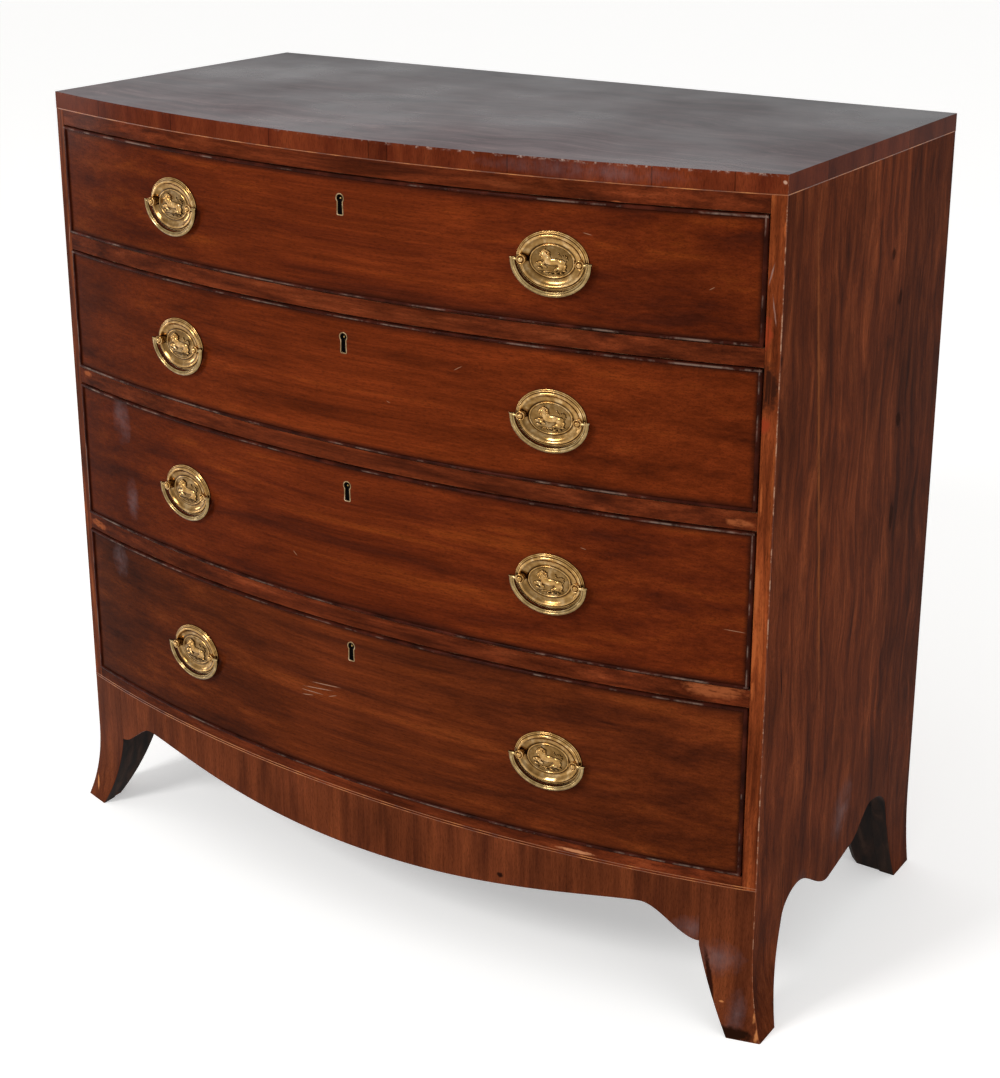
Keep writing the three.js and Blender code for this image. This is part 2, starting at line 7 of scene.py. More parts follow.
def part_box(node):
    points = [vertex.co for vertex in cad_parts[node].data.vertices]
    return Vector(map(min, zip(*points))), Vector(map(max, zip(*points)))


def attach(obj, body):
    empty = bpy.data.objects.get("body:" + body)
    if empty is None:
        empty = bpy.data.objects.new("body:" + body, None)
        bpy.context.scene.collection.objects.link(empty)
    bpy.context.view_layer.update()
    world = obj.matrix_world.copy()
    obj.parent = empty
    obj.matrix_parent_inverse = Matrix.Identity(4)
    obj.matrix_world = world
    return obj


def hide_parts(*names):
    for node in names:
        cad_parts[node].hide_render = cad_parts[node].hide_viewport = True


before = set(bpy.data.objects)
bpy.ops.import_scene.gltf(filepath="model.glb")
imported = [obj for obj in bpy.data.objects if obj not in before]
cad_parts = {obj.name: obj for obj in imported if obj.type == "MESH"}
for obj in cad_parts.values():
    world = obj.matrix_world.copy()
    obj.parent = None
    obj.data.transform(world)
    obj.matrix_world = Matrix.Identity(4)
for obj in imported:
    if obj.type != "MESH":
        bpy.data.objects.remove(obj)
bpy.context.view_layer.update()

mm = 0.001
near = 1e-6  # how closely places are matched, in metres

# The case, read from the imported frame; only the rise of the bow is a number of its own
caseLow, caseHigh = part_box("top_board")
bowRise = 70 * mm
halfWidth = caseHigh.x
backY = caseHigh.y
frontY = caseLow.y
cornerY = frontY + bowRise
topZ = caseHigh.z
underTop = caseLow.z
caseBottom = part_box("side_left")[0].z
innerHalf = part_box("side_right")[0].x
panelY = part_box("back_panel")[0].y
bowRadius = (halfWidth ** 2 + bowRise ** 2) / (2 * bowRise)
arcCentre = frontY + bowRadius


def bowFront(x, inset=0.0):
    return arcCentre - math.sqrt((bowRadius - inset) ** 2 - x * x)


# Modelling steps, each one what a hand would do in edit mode

sharpFrom = 40   # an edge that turns by more degrees than this is rounded
woodCrease = 22  # a wooden edge that turns by more degrees than this is shaded sharp
overSpin = 0.002  # radians that a piece is spun past its end before it is cut there


def deselectAll():
    bpy.ops.object.select_all(action="DESELECT")


def makeActive(*pieces):
    deselectAll()
    for piece in pieces:
        piece.select_set(True)
    bpy.context.view_layer.objects.active = pieces[0]


def editMode(piece):
    makeActive(piece)
    bpy.ops.object.mode_set(mode="EDIT")


def objectMode():
    bpy.ops.object.mode_set(mode="OBJECT")


def startPiece(name, adder, **settings):
    deselectAll()
    adder(**settings)
    piece = bpy.context.object
    piece.name = name
    piece.data.name = name
    bpy.ops.object.transform_apply(location=True, rotation=True, scale=True)
    bpy.ops.object.mode_set(mode="EDIT")
    return piece


def pick(test, kind="VERT"):
    # Selects the vertices, edges or faces whose middle passes the test
    bpy.ops.mesh.select_mode(type=kind)
    bpy.ops.mesh.select_all(action="DESELECT")
    mesh = bmesh.from_edit_mesh(bpy.context.edit_object.data)
    parts = {"VERT": mesh.verts, "EDGE": mesh.edges, "FACE": mesh.faces}[kind]
    for part in parts:
        if kind == "VERT":
            middle = part.co
        else:
            middle = sum((v.co for v in part.verts), Vector()) / len(part.verts)
        if test(middle):
            part.select_set(True)
    mesh.select_flush(True)
    bmesh.update_edit_mesh(bpy.context.edit_object.data)


def move(x, y, z):
    bpy.ops.transform.translate(value=(x, y, z))


def resize(x, y, z, centre=(0, 0, 0)):
    bpy.ops.transform.resize(value=(x, y, z), center_override=centre)


def extrude(x, y, z):
    bpy.ops.mesh.extrude_region_move(TRANSFORM_OT_translate={"value": (x, y, z)})


def selectAll():
    bpy.ops.mesh.select_mode(type="VERT")
    bpy.ops.mesh.select_all(action="SELECT")


def drawOutline(name, points):
    # One vertex is walked round the outline with extrude, then the outline is filled
    points = [Vector(p) for p in points]
    piece = startPiece(name, bpy.ops.mesh.primitive_plane_add, size=0.01)
    bpy.ops.mesh.merge(type="CENTER")
    move(*points[0])
    for before, after in zip(points, points[1:]):
        bpy.ops.mesh.extrude_vertices_move(TRANSFORM_OT_translate={"value": after - before})
    selectAll()
    bpy.ops.mesh.edge_face_add()
    return piece


def cutAt(place, normal, keepBelow=False):
    selectAll()
    bpy.ops.mesh.bisect(plane_co=place, plane_no=normal, use_fill=keepBelow, clear_outer=keepBelow)


def useModifier(piece, kind, **settings):
    makeActive(piece)
    modifier = piece.modifiers.new(kind.lower(), kind)
    for key, value in settings.items():
        setattr(modifier, key, value)
    bpy.ops.object.modifier_apply(modifier=modifier.name)


def softenEdges(piece, width, segments=2, angle=sharpFrom):
    useModifier(piece, "BEVEL", width=width, segments=segments, limit_method="ANGLE",
                angle_limit=math.radians(angle), use_clamp_overlap=True)


def softenSome(piece, width, test, segments=2, angle=sharpFrom):
    # Rounds only the sharp edges whose middle passes the test
    editMode(piece)
    bpy.ops.mesh.select_mode(type="EDGE")
    bpy.ops.mesh.select_all(action="DESELECT")
    mesh = bmesh.from_edit_mesh(piece.data)
    for edge in mesh.edges:
        middle = (edge.verts[0].co + edge.verts[1].co) / 2
        if edge.calc_face_angle(0) > math.radians(angle) and test(middle):
            edge.select_set(True)
    bmesh.update_edit_mesh(piece.data)
    bpy.ops.mesh.bevel(offset=width, segments=segments, affect="EDGES", clamp_overlap=True)
    objectMode()


def faceOutwards(piece):
    objectMode()
    editMode(piece)
    selectAll()
    bpy.ops.mesh.normals_make_consistent(inside=False)
    objectMode()


def spinHalf(name, section, reach, steps):
    # A section given as (inset behind the bow's face, height) is spun from the middle and mirrored
    piece = drawOutline(name, [(0, frontY + inset, z) for inset, z in section])
    deepest = max(inset for inset, z in section)
    sweep = math.asin(reach / (bowRadius - deepest)) + overSpin
    bpy.ops.mesh.spin(steps=steps, angle=-sweep, center=(0, arcCentre, 0), axis=(0, 0, 1))
    cutAt((reach, 0, 0), (1, 0, 0), keepBelow=True)
    pick(lambda p: abs(p.x) < near, "FACE")
    bpy.ops.mesh.delete(type="ONLY_FACE")
    objectMode()
    useModifier(piece, "MIRROR", use_clip=True, merge_threshold=near)
    faceOutwards(piece)
    return piece


def spinBand(name, outer, inner, low, high, reach, steps):
    return spinHalf(name, [(outer, low), (outer, high), (inner, high), (inner, low)], reach, steps)


def copyPiece(piece, name, matrix=None):
    makeActive(piece)
    bpy.ops.object.duplicate()
    made = bpy.context.object
    made.name = name
    made.data.name = name
    if matrix is not None:
        made.matrix_world = matrix
        bpy.ops.object.transform_apply(location=True, rotation=True, scale=True)
    return made


def mirrorCopy(piece, name):
    made = copyPiece(piece, name)
    editMode(made)
    selectAll()
    resize(-1, 1, 1)
    bpy.ops.mesh.normals_make_consistent(inside=False)
    objectMode()
    return made


def joinPieces(first, *others):
    makeActive(first, *others)
    bpy.ops.object.join()
    return first


def dress(piece, materials, choose=None):
    # Gives the materials; choose(normal, middle) says which one a face takes
    piece.data.materials.clear()
    for material in materials:
        piece.data.materials.append(material)
    if choose:
        for face in piece.data.polygons:
            face.material_index = choose(face.normal, face.center)


def markDirtAndPaintedLight(piece, share):
    # Stores for each vertex how much dirt its hollow holds, with painted shade on the plate's dish and the bail's
    # flanks; on a bead it is how near it is to the crown, where a painted highlight goes
    dirtAndPaintedLight = piece.data.attributes.new("dirtAndPaintedLight", "FLOAT", "POINT")
    for vertex in piece.data.vertices:
        dirtAndPaintedLight.data[vertex.index].value = max(0.0, min(1.0, share(vertex.co)))


def settle(piece, body, replaced=(), crease=None):
    makeActive(piece)
    bpy.ops.object.shade_smooth_by_angle(angle=math.radians(crease or woodCrease))
    if crease is None:
        # Flat faces stay flat beside the soft edges that they run into
        useModifier(piece, "WEIGHTED_NORMAL", keep_sharp=True)
    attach(piece, body)
    if replaced:
        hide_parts(*replaced)


def settlePair(piece, otherName, node=None):
    # The right-hand piece and its mirror image; node is the CAD name that both have before their side
    other = mirrorCopy(piece, otherName)
    for each, side in ((piece, "right"), (other, "left")):
        settle(each, "carcase", [f"{node}_{side}"] if node else ())


# Materials

def colour(hexCode):
    # An sRGB hex value as the linear colour that the shader wants
    values = [int(hexCode[i:i + 2], 16) / 255 for i in (1, 3, 5)]
    return [v / 12.92 if v <= 0.04045 else ((v + 0.055) / 1.055) ** 2.4 for v in values] + [1]


def feed(tree, node, inputs):
    # Inputs are values to set on the node's own sockets, or sockets to link; a node gives its first output
    for key, value in inputs.items():
        if isinstance(value, bpy.types.Node):
            value = value.outputs[0]
        if isinstance(value, bpy.types.NodeSocket):
            tree.links.new(value, node.inputs[key])
        else:
            node.inputs[key].default_value = value


def add(tree, kind, inputs=None, stops=(), **settings):
    # Adds a node; stops are the places and hex colours of a ramp
    made = tree.nodes.new("ShaderNode" + kind)
    for key, value in settings.items():
        setattr(made, key, value)
    feed(tree, made, inputs or {})
    for i, (place, tone) in enumerate(stops):
        elements = made.color_ramp.elements
        if i >= len(elements):
            elements.new(place)
        elements[i].position = place
        elements[i].color = colour(tone)
    return made


def newMaterial(name):
    material = bpy.data.materials.new(name)
    material.use_nodes = True
    tree = material.node_tree
    return material, tree, tree.nodes["Principled BSDF"]


def evenStops(tones, low, high):
    return [(low + (high - low) * i / (len(tones) - 1), tone) for i, tone in enumerate(tones)]


def layered(tree, shade, layers):
    # A layer is a light that multiplies the colour, or a mask and the tone that it brings in
    for factor, tone in layers:
        if tone is None:
            shade = add(tree, "VectorMath", {0: shade, 1: factor}, operation="MULTIPLY")
        else:
            shade = add(tree, "Mix", {"Factor": factor, 6: shade, 7: colour(tone)}, data_type="RGBA").outputs[2]
    return shade


def grainNoise(tree, place, axis, size, detail, rough=0.5, twist=0.0):
    # Noise drawn out along the grain; size is the length and width of its marks in mm
    scale = [1 / (size[1] * mm)] * 3
    scale["XYZ".index(axis)] = 1 / (size[0] * mm)
    drawn = add(tree, "Mapping", {"Vector": place, "Scale": tuple(scale)})
    return add(tree, "TexNoise", {"Vector": drawn, "Scale": 1.0, "Detail": detail, "Roughness": rough,
                                  "Distortion": twist})


def wobble(tree, place, scale, detail, rough=0.5):
    # Noise centred on zero, which shifts a pattern's places unevenly
    noise = add(tree, "TexNoise", {"Vector": place, "Scale": scale, "Detail": detail, "Roughness": rough})
    return add(tree, "VectorMath", {0: noise.outputs["Color"], 1: (0.5, 0.5, 0.5)}, operation="SUBTRACT")


markValues = {"scale": 160.0, "detail": 5.0, "rough": 0.65, "brokenFrom": 0.36, "brokenTo": 0.5, "brokenLeast": 0.25}


def markMask(tree, place, marks, ragged, broken=None, core=0.6):
    # Small spots and scratches: each is a middle, two half sizes in mm and a turn in degrees. One with its y
    # given lies on a side, any other on a front. Where the grain noise in broken is low, the spot breaks up.
    v = markValues
    shaking = wobble(tree, place, v["scale"], v["detail"], v["rough"])
    total = None
    for x, y, z, halfLength, halfHeight, turn in marks:
        turn, halfLength, halfHeight = math.radians(turn), halfLength * mm, halfHeight * mm
        onFront = y == 0
        local = add(tree, "Mapping", {
            "Vector": place, "Location": (x * mm, y * mm, z * mm),
            "Rotation": (0, turn, 0) if onFront else (turn, 0, 0),
            "Scale": (halfLength, 1.0, halfHeight) if onFront else (0.1, halfLength, halfHeight),
        }, vector_type="TEXTURE")
        shaken = add(tree, "VectorMath", {0: shaking, 1: (ragged,) * 3, 2: local}, operation="MULTIPLY_ADD")
        reach = add(tree, "VectorMath", {0: shaken}, operation="LENGTH")
        spot = add(tree, "MapRange", {"Value": reach.outputs["Value"], "From Min": 1.0, "From Max": core})
        if total is not None:
            spot = add(tree, "Math", {0: total, 1: spot}, operation="MAXIMUM")
        total = spot
    if broken is not None:
        whole = add(tree, "MapRange", {"Value": broken, "From Min": v["brokenFrom"], "From Max": v["brokenTo"],
                                       "To Min": v["brokenLeast"]})
        total = add(tree, "Math", {0: total, 1: whole}, operation="MULTIPLY")
    return total


usual = {"From Min": 0.3, "From Max": 0.7}  # the levels that noise mostly keeps to
shellacIor = 1.5
polishValues = {
    "streak": (110, 2.6), "pore": (6, 0.7), "poreFrom": 0.5, "poreTo": 0.66, "poreDepth": 0.42, "bumpDepth": 0.2,
    "jointBlur": 0.4, "jointLine": (0.3, 1.0), "grime": 0.6, "grimeTone": "#200F0A", "sheenScale": 36.0,
    "sheenFrom": 0.3, "sheenTo": 0.6, "sheenMost": 0.42, "sheenTone": "#75676A", "markRough": 0.3,
    "crumbScale": 130.0, "crumbFrom": 0.53, "crumbTo": 0.62, "crumbLeast": 0.1, "crumbTone": "#9E8478",
    "glossSpread": (0.06, 0.08), "sheenRagged": 0.7, "markRagged": 0.9, "poreDent": -0.5,
}


def polishedMahogany(name, look):
    # Cuban mahogany veneer under old French polish: ribbon bands, short dark pores, a warm clear film
    # whose gloss has gone soft. Shellac is amber, so what it mirrors straight on is tinted.
    v = polishValues
    material, tree, shader = newMaterial(name)
    place = add(tree, "TexCoord").outputs["Object"]
    parts = add(tree, "SeparateXYZ", {0: place}).outputs
    moved = add(tree, "Mapping", {"Vector": place, "Location": look["offset"]})
    shift = wobble(tree, moved, look["wanderScale"], 2.0)
    bent = add(tree, "VectorMath", {0: shift, 1: (look["wander"] * mm,) * 3, 2: moved}, operation="MULTIPLY_ADD")
    bands = grainNoise(tree, bent, look["grain"], (look["bandLength"], look["bandWidth"]), 5.0, 0.62, look["swirl"])
    ramp = add(tree, "ValToRGB", {"Fac": bands}, stops=evenStops(look["tones"], *look["spread"]))

    # Fine streaks, pores (0.2 mm wide in the wood, drawn wider so that they show) and broad clouds in the polish
    streaks = grainNoise(tree, bent, look["grain"], v["streak"], 4.0, 0.6)
    streakLight = add(tree, "MapRange", {"Value": streaks, **usual, "To Min": 1 - look["streak"],
                                         "To Max": 1 + look["streak"]})
    pores = add(tree, "MapRange", {"Value": grainNoise(tree, bent, look["grain"], v["pore"], 2.0),
                                   "From Min": v["poreFrom"], "From Max": v["poreTo"], "To Max": v["poreDepth"]})
    clouds = add(tree, "TexNoise", {"Vector": moved, "Scale": look["cloudScale"], "Detail": 3.0})
    cloudLight = add(tree, "MapRange", {"Value": clouds, **usual, "To Min": 1 - look["cloud"],
                                        "To Max": 1 + look["cloud"]})
    layers = [(streakLight, None), (pores, look["poreTone"]), (cloudLight, None)]

    for axisName, start, end, light in look["shadeFades"]:
        # Painted shade and light: the colour grows darker or paler along the piece, as the lamps light it less or more
        paintedShade = add(tree, "MapRange", {"Value": parts[axisName], "From Min": start * mm, "From Max": end * mm,
                                      "To Min": 1.0, "To Max": light}, interpolation_type="SMOOTHSTEP")
        layers.append((paintedShade, None))

    for axisName, spot, light in look["joints"]:
        # Veneer is laid in lengths: past each joint the tone changes, and the joint is a thin dark line
        beyond = add(tree, "MapRange", {"Value": parts[axisName], "From Min": (spot - v["jointBlur"]) * mm,
                                        "From Max": (spot + v["jointBlur"]) * mm, "To Min": 1.0, "To Max": light})
        away = add(tree, "Math", {0: parts[axisName], 1: spot * mm}, operation="SUBTRACT")
        away = add(tree, "Math", {0: away}, operation="ABSOLUTE")
        gap = add(tree, "MapRange", {"Value": away, "From Min": v["jointLine"][0] * mm,
                                     "From Max": v["jointLine"][1] * mm, "To Min": look["jointDepth"], "To Max": 1.0})
        layers += [(beyond, None), (gap, None)]

    if look["border"]:
        # Wax and dirt gather against the cockbead
        reach, zLow, zHigh, width = look["border"]
        sideways = add(tree, "Math", {0: parts["X"]}, operation="ABSOLUTE")
        nearest = add(tree, "Math", {0: reach, 1: sideways}, operation="SUBTRACT")
        for upper, lower in ((parts["Z"], zLow), (zHigh, parts["Z"])):
            away = add(tree, "Math", {0: upper, 1: lower}, operation="SUBTRACT")
            nearest = add(tree, "Math", {0: nearest, 1: away}, operation="MINIMUM")
        ragged = add(tree, "Math", {0: clouds, 1: width * mm}, operation="MULTIPLY")
        grime = add(tree, "MapRange", {"Value": nearest, "From Min": 0.0, "From Max": ragged, "To Min": v["grime"],
                                       "To Max": 0.0}, interpolation_type="SMOOTHSTEP")
        layers.append((grime, v["grimeTone"]))

    if look["paintedSheen"]:
        # Painted sheen: pale bluish patches that stand in for the lamps' reflections in the polish
        sheenSpots = markMask(tree, place, look["paintedSheen"], v["sheenRagged"], core=0.0)
        noise = add(tree, "TexNoise", {"Vector": place, "Scale": v["sheenScale"], "Detail": 6.0, "Roughness": 0.65})
        soft = add(tree, "MapRange", {"Value": noise, "From Min": v["sheenFrom"], "From Max": v["sheenTo"],
                                      "To Max": v["sheenMost"]})
        both = add(tree, "Math", {0: sheenSpots, 1: soft}, operation="MULTIPLY")
        layers.append((both, v["sheenTone"]))

    gloss = add(tree, "MapRange", {"Value": clouds, **usual, "To Min": look["rough"] - v["glossSpread"][0],
                                   "To Max": look["rough"] + v["glossSpread"][1]})
    for tone, marks in look["marks"].items():
        chips = markMask(tree, place, marks, v["markRagged"], streaks if look["brokenMarks"] else None)
        layers.append((chips, tone))
        gloss = add(tree, "Math", {0: chips, 1: v["markRough"], 2: gloss}, operation="MULTIPLY_ADD")

    if look["edgeWear"]:
        # The upper arris of the edge is rubbed and crumbled from one place along it to another
        start, end, low, high = [value * mm for value in look["edgeWear"]]
        noise = add(tree, "TexNoise", {"Vector": place, "Scale": v["crumbScale"], "Detail": 6.0, "Roughness": 0.75})
        crumbs = add(tree, "MapRange", {"Value": noise, "From Min": v["crumbFrom"], "From Max": v["crumbTo"]})
        upper = add(tree, "MapRange", {"Value": parts["Z"], "From Min": low, "From Max": high})
        within = add(tree, "MapRange", {"Value": parts["X"], "From Min": start, "From Max": end,
                                        "To Min": v["crumbLeast"]})
        worn = add(tree, "Math", {0: upper, 1: within}, operation="MULTIPLY")
        worn = add(tree, "Math", {0: worn, 1: crumbs}, operation="MULTIPLY")
        layers.append((worn, v["crumbTone"]))

    height = add(tree, "Math", {0: pores, 1: v["poreDent"], 2: streaks}, operation="MULTIPLY_ADD")
    bump = add(tree, "Bump", {"Height": height, "Strength": look["relief"], "Distance": v["bumpDepth"] * mm})
    feed(tree, shader, {
        "Base Color": layered(tree, ramp, layers), "Roughness": gloss, "Normal": bump,
        "IOR": shellacIor, "Specular IOR Level": look["mirror"], "Specular Tint": colour(look["filmTone"])})
    return material


frontLook = {
    "grain": "X", "bandLength": 720, "bandWidth": 26, "wander": 16, "wanderScale": 3.0, "swirl": 0.2, "streak": 0.24,
    "cloud": 0.16, "cloudScale": 6.0, "spread": (0.3, 0.7), "offset": (0, 0, 0), "jointDepth": 0.45,
    "tones": ["#42190D", "#56200D", "#66280F", "#783412"], "poreTone": "#2A0F07", "rough": 0.2, "relief": 0.12,
    "mirror": 0.012, "filmTone": "#FFC9A8",
    "shadeFades": (), "joints": (), "border": None, "paintedSheen": (), "marks": {}, "brokenMarks": False, "edgeWear": None,
}
apronLook = dict(frontLook, grain="Z", bandLength=200, bandWidth=22, wander=10, streak=0.16, cloud=0.22,
                 tones=["#472012", "#582A17", "#67321B", "#773C20"], offset=(5.2, 0.3, 0.4))
bandLook = dict(frontLook, grain="Z", bandLength=90, bandWidth=26, wander=6, streak=0.06, cloud=0.22,
                tones=["#4C1C0F", "#5A2412", "#652B16", "#713319"], offset=(7.7, 0.1, 0.3))

# The top is painted paler towards its front and darker towards its back: painted light and shade
topVeneer = polishedMahogany("figuredTopMahogany", dict(
    frontLook, bandLength=330, bandWidth=24, wander=130, wanderScale=3.8, swirl=1.2, streak=0.42, cloud=0.1,
    tones=["#221718", "#2F2122", "#3B2C2C", "#4B3B3A"], offset=(2.4, 0.7, 0.1), rough=0.3, mirror=0.045,
    filmTone="#B4A4FF", poreTone="#1C1216", shadeFades=[("Y", 40, -262, 2.0), ("Y", 40, 262, 0.5)]))
# Painted shade darkens the crossband towards its left end
bandFront = polishedMahogany("crossbandFront", dict(
    # The crossband's bloom patch is a painted sheen
    bandLook, edgeWear=(-120, 60, 976.8, 979.2), shadeFades=[("X", -250, -500, 0.76)], paintedSheen=[(290, 0, 970, 130, 11, 0)],
    joints=[("X", -402, 0.92), ("X", -261, 1.1), ("X", -100, 0.93), ("X", 40, 0.8), ("X", 64, 1.3),
            ("X", 210, 1.05), ("X", 366, 1.15), ("X", 449, 1.05)],
    marks={"#B08A74": [(497, 0, 972, 2.6, 2.2, 30)]}))
bandSide = polishedMahogany("crossbandSide", dict(
    bandLook, joints=[("Y", -95, 0.75), ("Y", 20, 1.35), ("Y", 120, 0.75)]))
# The side's bloom patches are a painted sheen
sideVeneer = polishedMahogany("sideMahogany", dict(
    frontLook, grain="Z", bandLength=170, bandWidth=20, wander=40, wanderScale=7.0, swirl=0.7, streak=0.26,
    cloud=0.26, cloudScale=8.0, mirror=0.003, tones=["#36180D", "#4A2111", "#5B2914", "#6A331A", "#803F21"],
    spread=(0.28, 0.72), offset=(1.7, 0.9, 0.2), joints=[("Y", 132, 0.74)], jointDepth=0.8, brokenMarks=True,
    marks={
        "#7E4524": [(500, -80, 640, 3.2, 330, 7)],
        "#2A130B": [(500, -187, 790, 3.5, 7, 0), (500, -150, 420, 2, 22, 8), (500, 140, 640, 9, 12, 10),
                    (500, 122, 790, 7, 12, -15), (500, 95, 845, 6, 9, 0), (500, 138, 520, 7, 22, 0)],
    }, paintedSheen=[(500, 40, 176, 30, 44, -20), (500, -70, 120, 24, 30, 0)]))
# Painted shade darkens the stile towards the left
stileVeneer = polishedMahogany("stileMahogany", dict(
    frontLook, grain="Z", bandLength=200, bandWidth=9, tones=["#431B0D", "#622B14", "#823D1D", "#A0552A"],
    cloud=0.34, cloudScale=14.0, offset=(3.1, 0.4, 0.6), shadeFades=[("X", 0, -400, 0.6)], brokenMarks=True, marks={
        "#35190F": [(486, 0, 762, 17, 30, 0)],
        "#8A361C": [(484, 0, 818, 8, 22, 5), (486, 0, 722, 8, 10, 0)],
        "#A2542B": [(487, 0, 540, 3.2, 34, 0), (486.5, 0, 470, 2.6, 30, 3), (487, 0, 425, 2, 14, 0),
                    (-498, 0, 430, 1.5, 9, 0), (499, 0, 925, 1.4, 9, 0), (487, 0, 640, 1.6, 20, 0)],
        "#8A6558": [(488, 0, 880, 1.0, 14, 12), (492, 0, 842, 0.9, 17, -8), (-489, 0, 800, 0.9, 16, 6)],
    }))
# Painted shade darkens the rails towards their left ends
railVeneer = polishedMahogany("railMahogany", dict(
    frontLook, bandLength=260, bandWidth=12, tones=["#38160B", "#4F200F", "#632A14", "#78381D"], cloud=0.3,
    cloudScale=11.0, offset=(0.4, 0, 1.3), shadeFades=[("X", -150, -490, 0.72)], brokenMarks=True, marks={
        "#8C4A29": [(466, 0, 613, 16, 5, 2), (-464, 0, 414, 18, 6, 6), (447, 0, 420, 38, 12, 0),
                    (-466, 0, 621, 11, 4, 0), (330, 0, 941, 6, 1.2, 0)],
        "#B87A54": [(296, 0, 190.5, 26, 2.6, 0)],
    }))
# The apron's bloom patch is a painted sheen
apronVeneer = polishedMahogany("apronMahogany", dict(
    apronLook, marks={"#241009": [(202, 0, 135, 5, 4, 0)]}, paintedSheen=[(428, 0, 122, 28, 18, -20)]))
# The foot's bloom patches are a painted sheen
footFront = polishedMahogany("footFrontMahogany", dict(apronLook, marks={
    "#241109": [(486, 0, 6, 30, 9, 0)],
    "#B87444": [(514, 0, 13, 3.4, 14, 8), (509, 0, 36, 2.6, 16, 8), (505, 0, 60, 1.8, 12, 6), (470, 0, 40, 3, 1.5, 0),
                (-500, 0, 22, 2.5, 12, -12)],
    "#2C130B": [(455, 0, 60, 4, 50, -10)],
}, paintedSheen=[(462, 0, 92, 34, 26, 0), (486, 0, 30, 14, 34, 0)]))

# Boxwood stringing: a pale inlaid line gone orange under the polish
boxValues = {"scale": 45.0, "rough": 0.4, "tones": [(0.35, "#5E2C10"), (0.5, "#924F1E"), (0.65, "#B46E30")]}
boxwood, boxTree, boxShader = newMaterial("inlaidBoxwood")
boxPlace = add(boxTree, "TexCoord").outputs["Object"]
boxNoise = add(boxTree, "TexNoise", {"Vector": boxPlace, "Scale": boxValues["scale"], "Detail": 4.0})
boxRamp = add(boxTree, "ValToRGB", {"Fac": boxNoise}, stops=boxValues["tones"])
feed(boxTree, boxShader, {"Base Color": boxRamp, "Roughness": boxValues["rough"]})

bareValues = {"fibre": (60, 1.4), "fibreDark": 0.82, "fibreLight": 1.14, "stainScale": 5.0, "stainFrom": 0.5,
              "stainTo": 0.75, "spread": (0.34, 0.66), "bump": 0.35, "bumpDepth": 0.4, "mirror": 0.2}


def bareWood(name, look):
    # Unpolished wood inside and behind: planed, dry and handled, so matt with open grain
    v = bareValues
    material, tree, shader = newMaterial(name)
    place = add(tree, "TexCoord").outputs["Object"]
    moved = add(tree, "Mapping", {"Vector": place, "Location": look["offset"]})
    rings = grainNoise(tree, moved, look["grain"], look["ring"], 4.0, twist=0.6)
    fibres = grainNoise(tree, moved, look["grain"], v["fibre"], 2.0)
    stains = add(tree, "TexNoise", {"Vector": moved, "Scale": v["stainScale"], "Detail": 5.0})
    ramp = add(tree, "ValToRGB", {"Fac": rings}, stops=evenStops(look["tones"], *v["spread"]))
    light = add(tree, "MapRange", {"Value": fibres, **usual, "To Min": v["fibreDark"], "To Max": v["fibreLight"]})
    stained = add(tree, "MapRange", {"Value": stains, "From Min": v["stainFrom"], "From Max": v["stainTo"],
                                     "To Max": look["stain"]})
    shade = layered(tree, ramp, [(light, None), (stained, look["stainTone"])])
    bump = add(tree, "Bump", {"Height": fibres, "Strength": v["bump"], "Distance": v["bumpDepth"] * mm})
    feed(tree, shader, {"Base Color": shade, "Normal": bump, "Roughness": look["rough"],
                        "Specular IOR Level": v["mirror"]})
    return material


oakLook = {"grain": "X", "ring": (240, 7), "tones": ["#7A573B", "#886346", "#957051", "#A27D5D"],
           "offset": (0.2, 0.5, 0.1), "stain": 0.35, "stainTone": "#5B3F26", "rough": 0.68}
pineLook = {"grain": "X", "ring": (420, 12), "tones": ["#5F412C", "#785239", "#876146", "#936D50"],
            "offset": (1.2, 0.1, 0.7), "stain": 0.55, "stainTone": "#3B281A", "rough": 0.8}
oakAcross = bareWood("drawerOakAcross", oakLook)
oakAlong = bareWood("drawerOakAlong", dict(oakLook, grain="Y", offset=(3.3, 0.4, 0.9)))
pineBoards = bareWood("backPine", pineLook)
carcasePine = bareWood("carcasePine", dict(
    pineLook, tones=["#6B4A33", "#825E43", "#93704F", "#A07C5A"], stain=0.4, offset=(4.4, 2.1, 0.3)))
# The bottom board's pine, coloured very dark
darkPine = bareWood("veryDarkPine", dict(
    pineLook, tones=["#1C110C", "#271710", "#342017", "#422B1F"], offset=(5.1, 1.3, 0.8)))
# Glue blocks and the backs of aprons and brackets: old pine darkened to near black as painted shade under the case
blockPineInShade = bareWood("glueBlockPineShaded", dict(
    pineLook, grain="Z", ring=(160, 12), tones=["#150D0A", "#1F140F", "#2B1B14", "#3A281F"], offset=(6.1, 0.7, 1.1)))
solidMahogany = bareWood("drawerFrontMahogany", dict(
    pineLook, ring=(200, 7), rough=0.6, tones=["#4A2314", "#5F2F1A", "#723B21", "#834A2B"],
    offset=(2.2, 0.6, 0.5), stainTone="#2B140D"))


brassValues = {"tarnishScale": 130.0, "levels": (0.35, 0.52, 0.68), "wipeScale": 38.0, "glossSpread": (0.05, 0.09),
               "bump": 0.08, "bumpDepth": 0.3}


